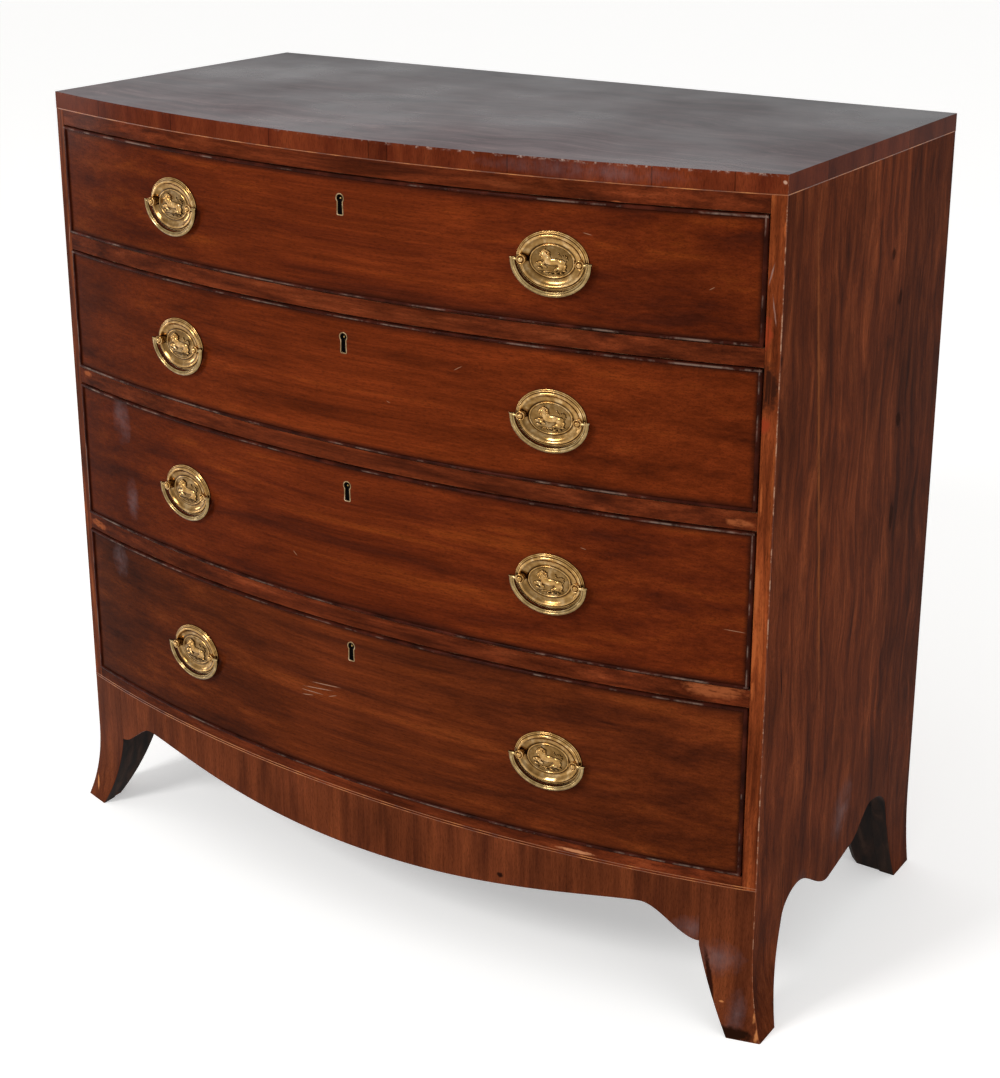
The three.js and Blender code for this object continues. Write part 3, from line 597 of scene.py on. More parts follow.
def agedBrass(name, tones, rough, dirtAndShadeTone):
    # Stamped and cast brass, polished on its high places and dull in its hollows; on the plate's dish and the bail's
    # flanks that darkening is painted shade as well
    v = brassValues
    material, tree, shader = newMaterial(name)
    place = add(tree, "TexCoord").outputs["Object"]
    tarnish = add(tree, "TexNoise", {"Vector": place, "Scale": v["tarnishScale"], "Detail": 4.0, "Roughness": 0.6})
    wipes = add(tree, "TexNoise", {"Vector": place, "Scale": v["wipeScale"], "Detail": 2.0})
    dirtAndPaintedLight = add(tree, "Attribute", attribute_name="dirtAndPaintedLight").outputs["Fac"]
    ramp = add(tree, "ValToRGB", {"Fac": tarnish}, stops=list(zip(v["levels"], tones)))
    dull = add(tree, "MapRange", {"Value": wipes, **usual, "To Min": rough - v["glossSpread"][0],
                                  "To Max": rough + v["glossSpread"][1]})
    bump = add(tree, "Bump", {"Height": tarnish, "Strength": v["bump"], "Distance": v["bumpDepth"] * mm})
    feed(tree, shader, {"Base Color": layered(tree, ramp, [(dirtAndPaintedLight, dirtAndShadeTone)]), "Roughness": dull, "Normal": bump,
                        "Metallic": 1.0})
    return material


plateBrass = agedBrass("stampedPlateBrass", ["#916D3C", "#AC8550", "#CCAA78"], 0.14, "#341E08")
medallionBrass = agedBrass("stampedMedallionBrass", ["#936E3C", "#AD8650", "#CFAC7A"], 0.17, "#241204")
bailBrass = agedBrass("castBailBrass", ["#8A6F47", "#A08558", "#BBA176"], 0.15, "#2A200F")
lockBrass = agedBrass("dullLockBrass", ["#8A6C3C", "#A08250", "#B09262"], 0.42, "#4A3820")
escutcheonBrass = agedBrass("escutcheonBrass", ["#735C40", "#907655", "#B0977A"], 0.34, "#3E2E1C")

# The keyhole's inside: painted shade, coloured near black
keyholeShade, keyholeShadeTree, keyholeShadeShader = newMaterial("keyholePaintedShade")
feed(keyholeShadeTree, keyholeShadeShader, {"Base Color": colour("#070504"), "Roughness": 0.9, "Specular IOR Level": 0.1})


edgeValues = {"toneScale": 40.0, "levels": (0.35, 0.55, 0.72), "wearFade": 0.1, "rough": 0.24}


def rubbedMahogany(name, look):
    # An edge that hands and dusters reach: dark wax with the polish rubbed or chipped off in places; on a bead the
    # pale wear on the crown is a painted highlight as well
    material, tree, shader = newMaterial(name)
    place = add(tree, "TexCoord").outputs["Object"]
    tone = add(tree, "TexNoise", {"Vector": place, "Scale": edgeValues["toneScale"], "Detail": 4.0})
    ramp = add(tree, "ValToRGB", {"Fac": tone}, stops=list(zip(edgeValues["levels"], look["tones"])))
    scuff = add(tree, "TexNoise", {"Vector": place, "Scale": look["wearScale"], "Detail": 5.0, "Roughness": 0.7})
    scuffed = add(tree, "MapRange", {"Value": scuff, "From Min": look["wearFrom"],
                                     "From Max": look["wearFrom"] + edgeValues["wearFade"], "To Max": look["wear"]})
    if look["highlightOnCrown"]:
        # The beads carry how near each place is to their crown; the pale wear kept there is a painted highlight along
        # it, partly real wear
        crown = add(tree, "Attribute", attribute_name="dirtAndPaintedLight").outputs["Fac"]
        scuffed = add(tree, "Math", {0: scuffed, 1: crown}, operation="MULTIPLY")
    feed(tree, shader, {"Base Color": layered(tree, ramp, [(scuffed, look["wearAndHighlightTone"])]),
                        "Roughness": edgeValues["rough"], "Specular IOR Level": look["mirror"]})
    return material


# On the beads the pale wear tone is a painted highlight along the crown, partly real wear
beadMaterial = rubbedMahogany("cockbeadMahogany", {
    "tones": ["#240D07", "#38150C", "#4E2013"], "wearScale": 17.0, "wearFrom": 0.5, "wear": 0.6,
    "wearAndHighlightTone": "#927A6C", "mirror": 0.02, "highlightOnCrown": True})
wornArris = rubbedMahogany("wornArris", {
    "tones": ["#5A2A18", "#7A3F24", "#8E5030"], "wearScale": 70.0, "wearFrom": 0.5, "wear": 0.85,
    "wearAndHighlightTone": "#B08468", "mirror": 0.05, "highlightOnCrown": False})
print("materials made")

# The CAD solids that stay, with the wood that each is really made of
kept = {"back_panel": pineBoards, "bottom_board": darkPine, "top_rail": carcasePine,
        "divider_1": carcasePine, "divider_2": carcasePine, "divider_3": carcasePine}
drawerWoods = {"front": solidMahogany, "side_left": oakAlong, "side_right": oakAlong, "bottom": oakAcross,
               "back": oakAcross, "lock": lockBrass}
for number in range(1, 5):
    kept.update({f"drawer_{number}_{part}": material for part, material in drawerWoods.items()})
for name, material in kept.items():
    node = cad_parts[name]
    if not node.material_slots:
        node.data.materials.append(material)
    for slot in node.material_slots:
        slot.material = material

# Top board, spun to the bow and flattened at the back
topValues = {"steps": 90, "softEdge": 1.3, "softSteps": 3, "backDepth": 100, "level": 0.98, "under": -0.3,
             "corner": 0.4, "sideways": 0.7}


def topFace(normal, middle):
    # The figured board above and below, the worn corners, the crossbanding of the sides and of the front
    v = topValues
    if normal.z > v["level"] or normal.z < v["under"]:
        return 0
    if min(abs(normal.x), abs(normal.y)) > v["corner"]:
        return 3
    return 2 if abs(normal.x) > v["sideways"] else 1


top = spinBand("topBoard", 0, backY - frontY, underTop, topZ, halfWidth, topValues["steps"])
editMode(top)
pick(lambda p: p.y > cornerY + topValues["backDepth"] * mm)
resize(1, 0, 1, (0, backY, 0))
objectMode()
softenEdges(top, topValues["softEdge"] * mm, topValues["softSteps"])
dress(top, [topVeneer, bandFront, bandSide, wornArris], topFace)
settle(top, "carcase", ["top_board"])
print("top made")

# Sides, with the rebate for the back boards
sideValues = {"rebate": 8, "softEdge": 0.9, "endMargin": 1, "corner": 0.3, "front": -0.6}


def sideFace(normal, middle):
    # The veneered side, the stile on its front edge and the worn corner between them
    if normal.y < -sideValues["corner"] and normal.x > sideValues["corner"]:
        return 2
    return 1 if normal.y < sideValues["front"] else 0


def between(low, high, margin):
    # A test for places whose height is well inside two levels
    return lambda p: low + margin * mm < p.z < high - margin * mm


rebateX = innerHalf + sideValues["rebate"] * mm
side = drawOutline("sideRight", [(x, y, caseBottom) for x, y in (
    (halfWidth, cornerY), (halfWidth, backY), (rebateX, backY), (rebateX, panelY), (innerHalf, panelY),
    (innerHalf, bowFront(innerHalf)))])
extrude(0, 0, underTop - caseBottom)
faceOutwards(side)
softenSome(side, sideValues["softEdge"] * mm, between(caseBottom, underTop, sideValues["endMargin"]))
dress(side, [sideVeneer, stileVeneer, wornArris], sideFace)
settlePair(side, "sideLeft", "side")

# Rails: a horizontal veneer facing on the front edge of each cross member
railValues = {"proud": 0.05, "thick": 0.8, "softEdge": 0.25, "steps": 80}
members = {"top_rail": "railTop", "divider_1": "railOne", "divider_2": "railTwo", "divider_3": "railThree",
           "bottom_board": "railBottom"}
for node, name in members.items():
    low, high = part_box(node)
    rail = spinBand(name, -railValues["proud"] * mm, railValues["thick"] * mm, low.z, high.z, innerHalf,
                    railValues["steps"])
    softenEdges(rail, railValues["softEdge"] * mm)
    dress(rail, [railVeneer])
    settle(rail, "carcase")
print("case made")

# Stringing: one line under the top on three faces, a pair above the apron on the front
stringValues = {"height": 0.9, "proud": 0.12, "thick": 0.5, "gap": 2.6, "steps": 80, "softEdge": 0.05}
line = stringValues["height"] * mm
outer = -stringValues["proud"] * mm
for name, low in {"stringTopFront": underTop - line,
                  "stringBaseUpper": caseBottom + stringValues["gap"] * mm,
                  "stringBaseLower": caseBottom - line / 2}.items():
    string = spinBand(name, outer, stringValues["thick"] * mm, low, low + line, halfWidth, stringValues["steps"])
    dress(string, [boxwood])
    settle(string, "carcase")
string = startPiece("stringTopRight", bpy.ops.mesh.primitive_cube_add, size=1,
                    location=(halfWidth, (cornerY + backY) / 2, underTop - line / 2),
                    scale=(-2 * outer, backY - cornerY, line))
objectMode()
softenEdges(string, stringValues["softEdge"] * mm, 1)
dress(string, [boxwood])
settlePair(string, "stringTopLeft")

# Apron and feet. The front apron is spun, then its lower edge is drawn up column by column.
apronValues = {
    "thick": 20, "archHeight": 145, "archDistance": 128, "dropHeight": 111.5, "shoulder": 109, "joint": 60,
    "dropCurve": 0.65, "steps": 112, "softEdge": 1.0, "lowest": 90, "sideSteps": 80, "endMargin": 0.5, "facing": 0.5,
    "frontBracket": (70, 112, 138, 200, 99),  # joint, arch and its height, drop and its height, from the front
    "backBracket": (75, 130, 144, 188, 112),  # the same from the back
}
footValues = {
    "straight": 104, "frontAlong": (38, 60), "frontBack": (38, 70), "backAlong": (66, 80), "backForward": (47, 75),
    "blockStep": 2, "chamfer": 12, "thick": 20, "splayHeight": 110, "sideSplay": 18, "frontSplay": 10,
    "backSplay": 6, "power": 2.3, "rows": 26, "softEdge": 1.0, "wornFoot": 2.4, "sharpFrom": 50, "endMargin": 1,
    "floorReach": 0.1, "bowSteps": 6, "corner": 0.35, "facing": 0.6, "level": 0.8, "innerFrom": (21, 60),
}


def eased(share):
    return share * share * (3 - 2 * share)


def frontEdge(distance):
    # The height of the front apron's lower edge at a distance from the corner, in mm
    v = apronValues
    if distance < v["archDistance"]:
        share = (distance - v["joint"]) / (v["archDistance"] - v["joint"])
        return v["shoulder"] + (v["archHeight"] - v["shoulder"]) * eased(share)
    share = (distance - v["archDistance"]) / (halfWidth / mm - v["archDistance"])
    fall = (1 - math.cos(math.pi * share ** v["dropCurve"])) / 2
    return v["archHeight"] - (v["archHeight"] - v["dropHeight"]) * fall


def bracketEdge(distance, joint, archAt, archHeight, dropAt, dropHeight):
    if distance < archAt:
        share = (archAt - distance) / (archAt - joint)
        return footValues["straight"] + (archHeight - footValues["straight"]) * math.sqrt(max(0, 1 - share ** 2))
    return archHeight - (archHeight - dropHeight) * eased((distance - archAt) / (dropAt - archAt))


def sideEdge(distance):
    # The same for the side apron, at a distance from the front corner
    front, back = apronValues["frontBracket"], apronValues["backBracket"]
    caseDepth = (backY - cornerY) / mm
    if distance < front[3]:
        return bracketEdge(distance, *front)
    if caseDepth - distance < back[3]:
        return bracketEdge(caseDepth - distance, *back)
    share = (distance - front[3]) / (caseDepth - back[3] - front[3])
    return front[4] + (back[4] - front[4]) * share


lowest, thick = apronValues["lowest"] * mm, apronValues["thick"] * mm
apron = spinBand("apronFront", 0, thick, lowest, caseBottom, halfWidth - apronValues["joint"] * mm,
                 apronValues["steps"])
editMode(apron)
columns = sorted({round(v.co.x, 6) for v in bmesh.from_edit_mesh(apron.data).verts if v.co.z < lowest + 10 * near})
for x in columns:
    pick(lambda p: abs(p.x - x) < 2 * near and p.z < lowest + 10 * near)
    move(0, 0, frontEdge((halfWidth - abs(x)) / mm) * mm - lowest)
objectMode()
softenEdges(apron, apronValues["softEdge"] * mm)
dress(apron, [apronVeneer, blockPineInShade], lambda normal, middle: 1 if normal.y > apronValues["facing"] else 0)
settle(apron, "carcase", ["apron_front"])

start = apronValues["frontBracket"][0]
end = (backY - cornerY) / mm - apronValues["backBracket"][0]
outline = []
for step in range(apronValues["sideSteps"] + 1):
    distance = start + (end - start) * step / apronValues["sideSteps"]
    outline.append((halfWidth, cornerY + distance * mm, sideEdge(distance) * mm))
outline += [(halfWidth, cornerY + end * mm, caseBottom), (halfWidth, cornerY + start * mm, caseBottom)]
apron = drawOutline("apronRight", outline)
extrude(-thick, 0, 0)
faceOutwards(apron)
margin = apronValues["endMargin"]
softenSome(apron, apronValues["softEdge"] * mm, lambda p: p.z < caseBottom - 2 * margin * mm
           and cornerY + (start + margin) * mm < p.y < cornerY + (end - margin) * mm)
dress(apron, [sideVeneer, blockPineInShade], lambda normal, middle: 0 if normal.x > apronValues["facing"] else 1)
settlePair(apron, "apronLeft", "apron")
print("aprons made")


def footShape(front, level):
    # The plan of a right-hand foot at a level from 0 at the floor to 1 at the apron, before its sweep
    v = footValues
    sizes = (v["frontAlong"], v["frontBack"]) if front else (v["backAlong"], v["backForward"])
    along, other = [(low + (high - low) * level) * mm for low, high in sizes]
    innerX = halfWidth - along
    blockX = innerX + v["blockStep"] * mm
    chamfer, thick = v["chamfer"] * mm, v["thick"] * mm
    if front:
        blockY = cornerY + other - v["blockStep"] * mm
        shape = [(halfWidth, cornerY + other), (halfWidth - thick, cornerY + other), (halfWidth - thick, blockY),
                 (blockX + chamfer, blockY), (blockX, blockY - chamfer), (blockX, bowFront(blockX, thick)),
                 (innerX, bowFront(innerX, thick))]
        bow = [innerX + along * i / v["bowSteps"] for i in range(v["bowSteps"] + 1)]
        return shape + [(x, bowFront(x)) for x in bow]
    blockY = backY - other + v["blockStep"] * mm
    return [(halfWidth, backY), (innerX, backY), (innerX, backY - thick), (blockX, backY - thick),
            (blockX, blockY + chamfer), (blockX + chamfer, blockY), (halfWidth - thick, blockY),
            (halfWidth - thick, backY - other), (halfWidth, backY - other)]


def makeFoot(name, front):
    # A bracket and its glue block, tapered, cut into rows and swept outwards
    v = footValues
    straight, splayHeight = v["straight"] * mm, v["splayHeight"] * mm
    foot = drawOutline(name, [(x, y, 0) for x, y in footShape(front, 0)])
    extrude(0, 0, straight)
    for (x0, y0), (x1, y1) in zip(footShape(front, 0), footShape(front, 1)):
        pick(lambda p: abs(p.z - straight) < near and abs(p.x - x0) < 10 * near and abs(p.y - y0) < 10 * near)
        move(x1 - x0, y1 - y0, 0)
    pick(lambda p: abs(p.z - straight) < near, "FACE")
    extrude(0, 0, caseBottom - straight)
    rows = [splayHeight * i / v["rows"] for i in range(v["rows"])]
    for z in rows[1:]:
        cutAt((0, 0, z), (0, 0, 1))
    outwards = (v["sideSplay"], -v["frontSplay"]) if front else (v["backSplay"], 0)
    for z in rows:
        sweep = (1 - z / splayHeight) ** v["power"] * mm
        pick(lambda p: abs(p.z - z) < 10 * near)
        move(outwards[0] * sweep, outwards[1] * sweep, 0)
    faceOutwards(foot)
    softenSome(foot, v["softEdge"] * mm, between(0, caseBottom, v["endMargin"]), 2, v["sharpFrom"])
    softenSome(foot, v["wornFoot"] * mm, lambda p: p.z < v["floorReach"] * mm, 3, v["sharpFrom"])
    return foot


def footFace(front):
    # The veneered outside, the front of a front foot, the rough block behind and the worn corner
    v = footValues

    def choose(normal, middle):
        if front and normal.y < -v["corner"] and normal.x > v["corner"]:
            return 3
        if front and normal.y < -v["facing"]:
            return 1
        if normal.x > v["facing"] or (not front and normal.y > v["facing"]):
            return 0
        inside = middle.x < halfWidth - v["innerFrom"][0] * mm and middle.y > cornerY - v["innerFrom"][1] * mm
        return 2 if not front or (inside and abs(normal.z) < v["level"]) else 0
    return choose


for name, front in (("Front", True), ("Back", False)):
    foot = makeFoot(f"foot{name}Right", front)
    dress(foot, [sideVeneer, footFront, blockPineInShade, wornArris], footFace(front))
    settlePair(foot, f"foot{name}Left", f"foot_{name.lower()}")
print("feet made")

# Handles, made once at their own place: x along the drawer, -y out of it
plateValues = {
    # dull and brightAt give the dish its painted shade, darkest opposite brightAt
    "sides": 96, "dish": (26, 34.5), "dull": 0.22, "brightAt": 0.4, "medallion": (25.4, 17.8),
    "rings": [  # half width, half height, how far it stands out, and how dirty it is
        # the dish rings' darkness is partly painted shade; the grooves hold real dirt
        (41, 32, 0.3, 0.9), (41, 32, 1.2, 0.5), (40.8, 31.8, 1.6, 0), (40.3, 31.3, 1.8, 0), (39.8, 30.8, 1.6, 0.8),
        (39.5, 30.5, 1.7, 1.0), (39.2, 30.2, 2.3, 0), (38.7, 29.7, 2.5, 0), (38.2, 29.2, 2.3, 0.8),
        (37.9, 28.9, 2.4, 1.0), (37.6, 28.6, 3.2, 0), (37.0, 28.0, 3.9, 0), (36.2, 27.2, 4.3, 0), (35.4, 26.4, 4.2, 0),
        (34.8, 25.8, 3.8, 0.1), (34.0, 25.0, 3.1, 0.25), (33.0, 24.0, 2.4, 0.2), (31.8, 22.9, 1.8, 0.1),
        (30.4, 21.7, 1.35, 0.05), (29.0, 20.6, 1.1, 0.1), (27.6, 19.5, 1.0, 0.35), (26.6, 18.7, 1.05, 0.8),
        (25.9, 18.2, 1.3, 1.0), (25.5, 17.9, 1.8, 0.3), (25.0, 17.5, 2.3, 0), (24.5, 17.1, 2.4, 0),
        (24.0, 16.6, 2.1, 0.5), (23.5, 16.2, 1.7, 0.85), (22.6, 15.5, 1.7, 0.6), (20, 13.6, 2.0, 0.55),
        (16, 10.8, 2.3, 0.55), (11, 7.4, 2.5, 0.55), (5.5, 3.7, 2.6, 0.55),
    ],
}


def stampRings(name, sides, rings):
    # A disc is extruded outwards ring by ring
    piece = startPiece(name, bpy.ops.mesh.primitive_circle_add, vertices=sides, radius=1,
                       rotation=(math.pi / 2, 0, 0))
    resize(rings[0][0] * mm, 1, rings[0][1] * mm)
    bpy.ops.mesh.edge_face_add()
    move(0, -rings[0][2] * mm, 0)
    for before, after in zip(rings, rings[1:]):
        extrude(0, -(after[2] - before[2]) * mm, 0)
        resize(after[0] / before[0], 1, after[1] / before[1])
    faceOutwards(piece)
    return piece


def plateDirtAndShade(point):
    # The dirt of the nearest ring; the dish is duller away from its upper right: painted shade that stands in for the
    # directional reflections of the lamps
    v = plateValues

    def away(ring):
        return (abs(math.hypot(point.x / ring[0], point.z / ring[1]) / mm - 1) * ring[0]
                + abs(ring[2] + point.y / mm))
    nearest = min(v["rings"], key=away)
    if v["dish"][0] < nearest[0] < v["dish"][1]:
        return nearest[3] + v["dull"] * (1 - math.cos(math.atan2(point.z, point.x) - v["brightAt"]))
    return nearest[3]


plate = stampRings("plate", plateValues["sides"], plateValues["rings"])
markDirtAndPaintedLight(plate, plateDirtAndShade)

postValues = {
    "spacing": 66, "sides": 28, "shank": 2.3, "shankSides": 16, "shankFrom": -1, "shankLength": 26.2, "nut": 5,
    "nutThick": 3, "nutAt": 22.7, "nutEdge": 0.35, "dirt": 0.5, "neckTo": 4.6, "dimple": (7.9, 3.7),
    "rings": [  # radius, how far it stands out
        (4.0, 1.4), (4.0, 3.0), (3.4, 3.4), (3.4, 4.2), (4.8, 4.4), (5.2, 4.9), (5.3, 5.6), (5.3, 7.4), (5.1, 8.0),
        (4.7, 8.4), (4.3, 8.4), (3.9, 8.1), (3.6, 7.6), (3.4, 7.2), (3.1, 7.4), (3.1, 8.4), (2.8, 9.3), (2.1, 10.1),
        (1.2, 10.6), (0.3, 10.7),
    ],
}


def postDirt(point):
    # Dirt lies round the neck and in the ring round the middle of the head
    v = postValues
    inDimple = point.y > -v["dimple"][0] * mm and math.hypot(point.x, point.z) < v["dimple"][1] * mm
    return v["dirt"] if point.y > -v["neckTo"] * mm or inDimple else 0.0


def turnedRod(name, sides, radius, start, length):
    # A rod along y, behind the plate
    rod = startPiece(name, bpy.ops.mesh.primitive_cylinder_add, vertices=sides, radius=radius * mm,
                     depth=length * mm, rotation=(math.pi / 2, 0, 0), location=(0, (start + length / 2) * mm, 0))
    objectMode()
    return rod


post = stampRings("post", postValues["sides"], [(radius, radius, out) for radius, out in postValues["rings"]])
shank = turnedRod("shank", postValues["shankSides"], postValues["shank"], postValues["shankFrom"],
                  postValues["shankLength"])
nut = turnedRod("nut", 6, postValues["nut"], postValues["nutAt"], postValues["nutThick"])
softenEdges(nut, postValues["nutEdge"] * mm, 1)
markDirtAndPaintedLight(post, postDirt)
post = joinPieces(post, shank, nut)
otherPost = copyPiece(post, "otherPost", Matrix.Translation((-postValues["spacing"] / 2 * mm, 0, 0)))
editMode(post)
selectAll()
move(postValues["spacing"] / 2 * mm, 0, 0)
objectMode()

# The figure on the medallion, a walking lion in low relief built up from flattened balls
lionValues = {
    "field": 1.9, "voxel": 0.34, "segments": 20, "ringCount": 12, "head": 3, "dirtAndPaintedLight": (4.1, 1.3),
    "balls": [  # across, up, half length, half width, turn in degrees, how far it stands out
        (1.5, -0.4, 10.4, 4.6, -6, 2.7), (-4.6, 1.2, 5.2, 5.4, 20, 3.3), (11.0, -1.8, 5.4, 5.4, 0, 3.4),
        (-8.8, 7.4, 3.6, 3.4, 0, 4.2), (-12.4, 6.0, 2.6, 1.9, 12, 3.8), (-6.4, 4.2, 5.0, 4.0, 50, 3.6),
        (-11.5, -1.8, 4.8, 1.8, 12, 2.8), (-15.4, -3.4, 3.4, 1.4, 24, 2.5), (-9.0, -5.2, 5.0, 1.9, 24, 3.0),
        (-13.6, -7.6, 3.6, 1.4, 14, 2.4), (8.6, -6.8, 5.0, 2.0, 10, 3.0), (4.4, -8.4, 3.2, 1.3, 0, 2.4),
        (15.0, -5.4, 3.8, 1.8, 118, 2.8), (14.4, -8.8, 3.0, 1.2, 0, 2.3),
        (0.0, -10.9, 15.4, 0.8, -1, 1.6), (-8.0, -12.2, 4.0, 1.1, -8, 1.7), (-1.0, -13.0, 3.2, 1.1, 4, 1.7),
        (5.5, -12.6, 3.8, 1.1, 4, 1.6), (11.0, -11.6, 2.8, 1.0, 10, 1.6),
    ],
    "mane": 11, "maneAt": (1.4, -0.8), "maneSpread": 4.8, "maneBall": 1.5, "maneSizes": (0.9, 1.25), "maneOut": 3.3,
    "tail": [(16.2, 1.0), (17.6, 3.4), (17.0, 6.0), (14.8, 7.4), (12.2, 7.0), (10.2, 6.0), (8.4, 7.2), (7.4, 9.2)],
    "tailBall": 1.1, "tailTuft": 1.3, "tuftFrom": 8, "tailOut": 2.2,
}


def flatBall(across, up, long, wide, turn, out):
    ball = startPiece("ball", bpy.ops.mesh.primitive_uv_sphere_add, segments=lionValues["segments"],
                      ring_count=lionValues["ringCount"], radius=1,
                      location=(across * mm, -lionValues["field"] * mm, up * mm), rotation=(0, math.radians(turn), 0),
                      scale=(long * mm, out * mm, wide * mm))
    objectMode()
    return ball


v = lionValues
balls = [flatBall(*values) for values in v["balls"]]
maneX, maneZ = [at + by for at, by in zip(v["balls"][v["head"]], v["maneAt"])]
for i in range(v["mane"]):
    turn = 2 * math.pi * i / v["mane"]
    size = v["maneBall"] * v["maneSizes"][i % 2]
    balls.append(flatBall(maneX + v["maneSpread"] * math.cos(turn), maneZ + v["maneSpread"] * math.sin(turn), size,
                          size, 0, v["maneOut"]))
for across, up in v["tail"]:
    size = v["tailTuft"] if up > v["tuftFrom"] else v["tailBall"]
    balls.append(flatBall(across, up, size, v["tailBall"], 0, v["tailOut"]))
lion = joinPieces(*balls)
lion.name = "lion"
useModifier(lion, "REMESH", mode="VOXEL", voxel_size=v["voxel"] * mm)
useModifier(lion, "SMOOTH", factor=0.5, iterations=1)
markDirtAndPaintedLight(lion, lambda p: (lionValues["dirtAndPaintedLight"][0] + p.y / mm) / lionValues["dirtAndPaintedLight"][1])

# The bail: a moulded section spun round its pivot, drawn down to an oval, with squared ends and pins
bailValues = {
    "halfWidth": 43.2, "drop": 34.8, "standoff": 6.5, "steps": 60, "endRise": 1.3, "endSwell": 1.05, "endInset": 3,
    "tip": 0.9, "pin": 1.8, "pinSides": 16, "pinFrom": 36, "pinEdge": 0.3, "lean": 1.2, "leanCurve": 1.5,
    "endShare": 0.82, "softEdge": 0.25, "sharpFrom": 60,
    "section": [  # across the band from its inner edge, and out of the drawer
        (-3.4, -1.5), (-3.4, 0.1), (-3.1, 0.6), (-2.5, 0.8), (-1.6, 0.7), (-1.3, 0.7), (-0.9, 1.3), (-0.3, 1.9),
        (0.5, 2.1), (1.3, 1.9), (1.9, 1.4), (2.2, 1.2), (2.7, 1.1), (3.1, 0.6), (3.2, -0.9), (2.8, -1.6), (2.0, -1.9),
        (-2.7, -1.9),
    ],
    # the flank's dirt is also painted shade
    "dirt": {"flank": 0.85, "quirk": 0.75, "outer": 0.3, "bead": 0.1},
    "flankTo": 0.4, "quirk": (-2.2, -1.0), "quirkTo": 1.1, "outerFrom": 1.6,
}
v = bailValues
bail = drawOutline("bail", [((v["halfWidth"] + across) * mm, -(v["standoff"] + out) * mm, 0)
                            for across, out in v["section"]])
bpy.ops.mesh.spin(steps=v["steps"], angle=-math.pi, center=(0, 0, 0), axis=(0, 1, 0))
downwards = -1 if min(vertex.co.z for vertex in bmesh.from_edit_mesh(bail.data).verts) < -1 * mm else 1
selectAll()
resize(1, 1, -downwards * v["drop"] / v["halfWidth"])
for end in (-1, 1):
    pick(lambda p: p.x * end > 0 and abs(p.z) < near, "FACE")
    extrude(0, 0, v["endRise"] * mm)
    resize(v["endSwell"], 1.0, 1, (end * (v["halfWidth"] - v["endInset"]) * mm, 0, 0))
    extrude(0, 0, v["tip"] * mm)
objectMode()


def bailDirtAndShade(point):
    # Dirt lies in the quirk beside the bead; down the flanks the darkening is dirt and painted shade, the dark line
    # between the bail and the plate
    v = bailValues
    across = math.hypot(point.x, min(point.z, 0) * v["halfWidth"] / v["drop"]) / mm - v["halfWidth"]
    out = -point.y / mm - v["standoff"]
    if out < v["flankTo"]:
        return v["dirt"]["flank"]
    if v["quirk"][0] < across < v["quirk"][1] and out < v["quirkTo"]:
        return v["dirt"]["quirk"]
    return v["dirt"]["outer" if across > v["outerFrom"] else "bead"]


markDirtAndPaintedLight(bail, bailDirtAndShade)
middle = v["halfWidth"] * mm
for vertex in bail.data.vertices:
    # The band narrows towards its ends and hangs closer to the drawer at its foot
    fall = max(0.0, min(1.0, -vertex.co.z / (v["drop"] * mm)))
    radius = math.hypot(vertex.co.x, vertex.co.z * v["halfWidth"] / v["drop"])
    narrow = v["endShare"] + (1 - v["endShare"]) * fall
    if radius > 0 and vertex.co.z < -near:
        wanted = (middle + (radius - middle) * narrow) / radius
        vertex.co.x *= wanted
        vertex.co.z *= wanted
    elif vertex.co.z < near:
        vertex.co.x = math.copysign(middle + (abs(vertex.co.x) - middle) * narrow, vertex.co.x)
    vertex.co.y += v["lean"] * mm * fall ** v["leanCurve"]
faceOutwards(bail)
softenEdges(bail, v["softEdge"] * mm, 1, v["sharpFrom"])
pins = []
for end in (-1, 1):
    pin = startPiece("pin", bpy.ops.mesh.primitive_cylinder_add, vertices=v["pinSides"], radius=v["pin"] * mm,
                     depth=(v["halfWidth"] - v["pinFrom"]) * mm, rotation=(0, math.pi / 2, 0),
                     location=(end * (v["pinFrom"] + v["halfWidth"]) / 2 * mm, -v["standoff"] * mm, 0))
    objectMode()
    softenEdges(pin, v["pinEdge"] * mm, 2)
    pins.append(pin)
bail = joinPieces(bail, *pins)
handlePlate = joinPieces(plate, post, otherPost)
oval = plateValues["medallion"]
dress(handlePlate, [plateBrass, medallionBrass],
      lambda normal, middle: 1 if math.hypot(middle.x / oval[0], middle.z / oval[1]) < mm and middle.y < 0 else 0)
dress(bail, [bailBrass])
dress(lion, [medallionBrass])
print("handle made")

# Thread escutcheon: a brass line round a keyhole whose inside is painted near black as shade, with the lock's pin
# inside
escutcheonValues = {
    "radius": 5.75, "slot": 8.4, "length": 25, "wall": 1.3, "proud": 0.35, "depth": 4.6, "floor": 0.6, "arc": 18,
    "corner": 0.3, "flare": 0.5, "softEdge": 0.18, "shadeFrom": 0.4, "pin": 1.1, "pinSides": 20, "pinLength": 3.2,
    "pinBack": 1.9, "pinEdge": 0.35, "play": 0.05, "cutFrom": 5, "cutDepth": 12,
}


def keyholeOutline(smaller, flare, y):
    # The keyhole's outline at y, made smaller by so much all round; its foot flares a little
    v = escutcheonValues
    radius, length = v["radius"] - smaller, v["length"] - 2 * smaller
    half = (v["slot"] - 2 * smaller) / 2
    turned = math.asin(half / radius)
    corner = v["corner"] * half
    points = [(half + flare - corner, -length / 2), (half + flare, -length / 2 + corner)]
    for i in range(v["arc"] + 1):
        turn = -math.pi / 2 + turned + 2 * (math.pi - turned) * i / v["arc"]
        points.append((radius * math.cos(turn), length / 2 - radius + radius * math.sin(turn)))
    points += [(-half - flare, -length / 2 + corner), (-half - flare + corner, -length / 2)]
    return [(x * mm, y * mm, z * mm) for x, z in points]


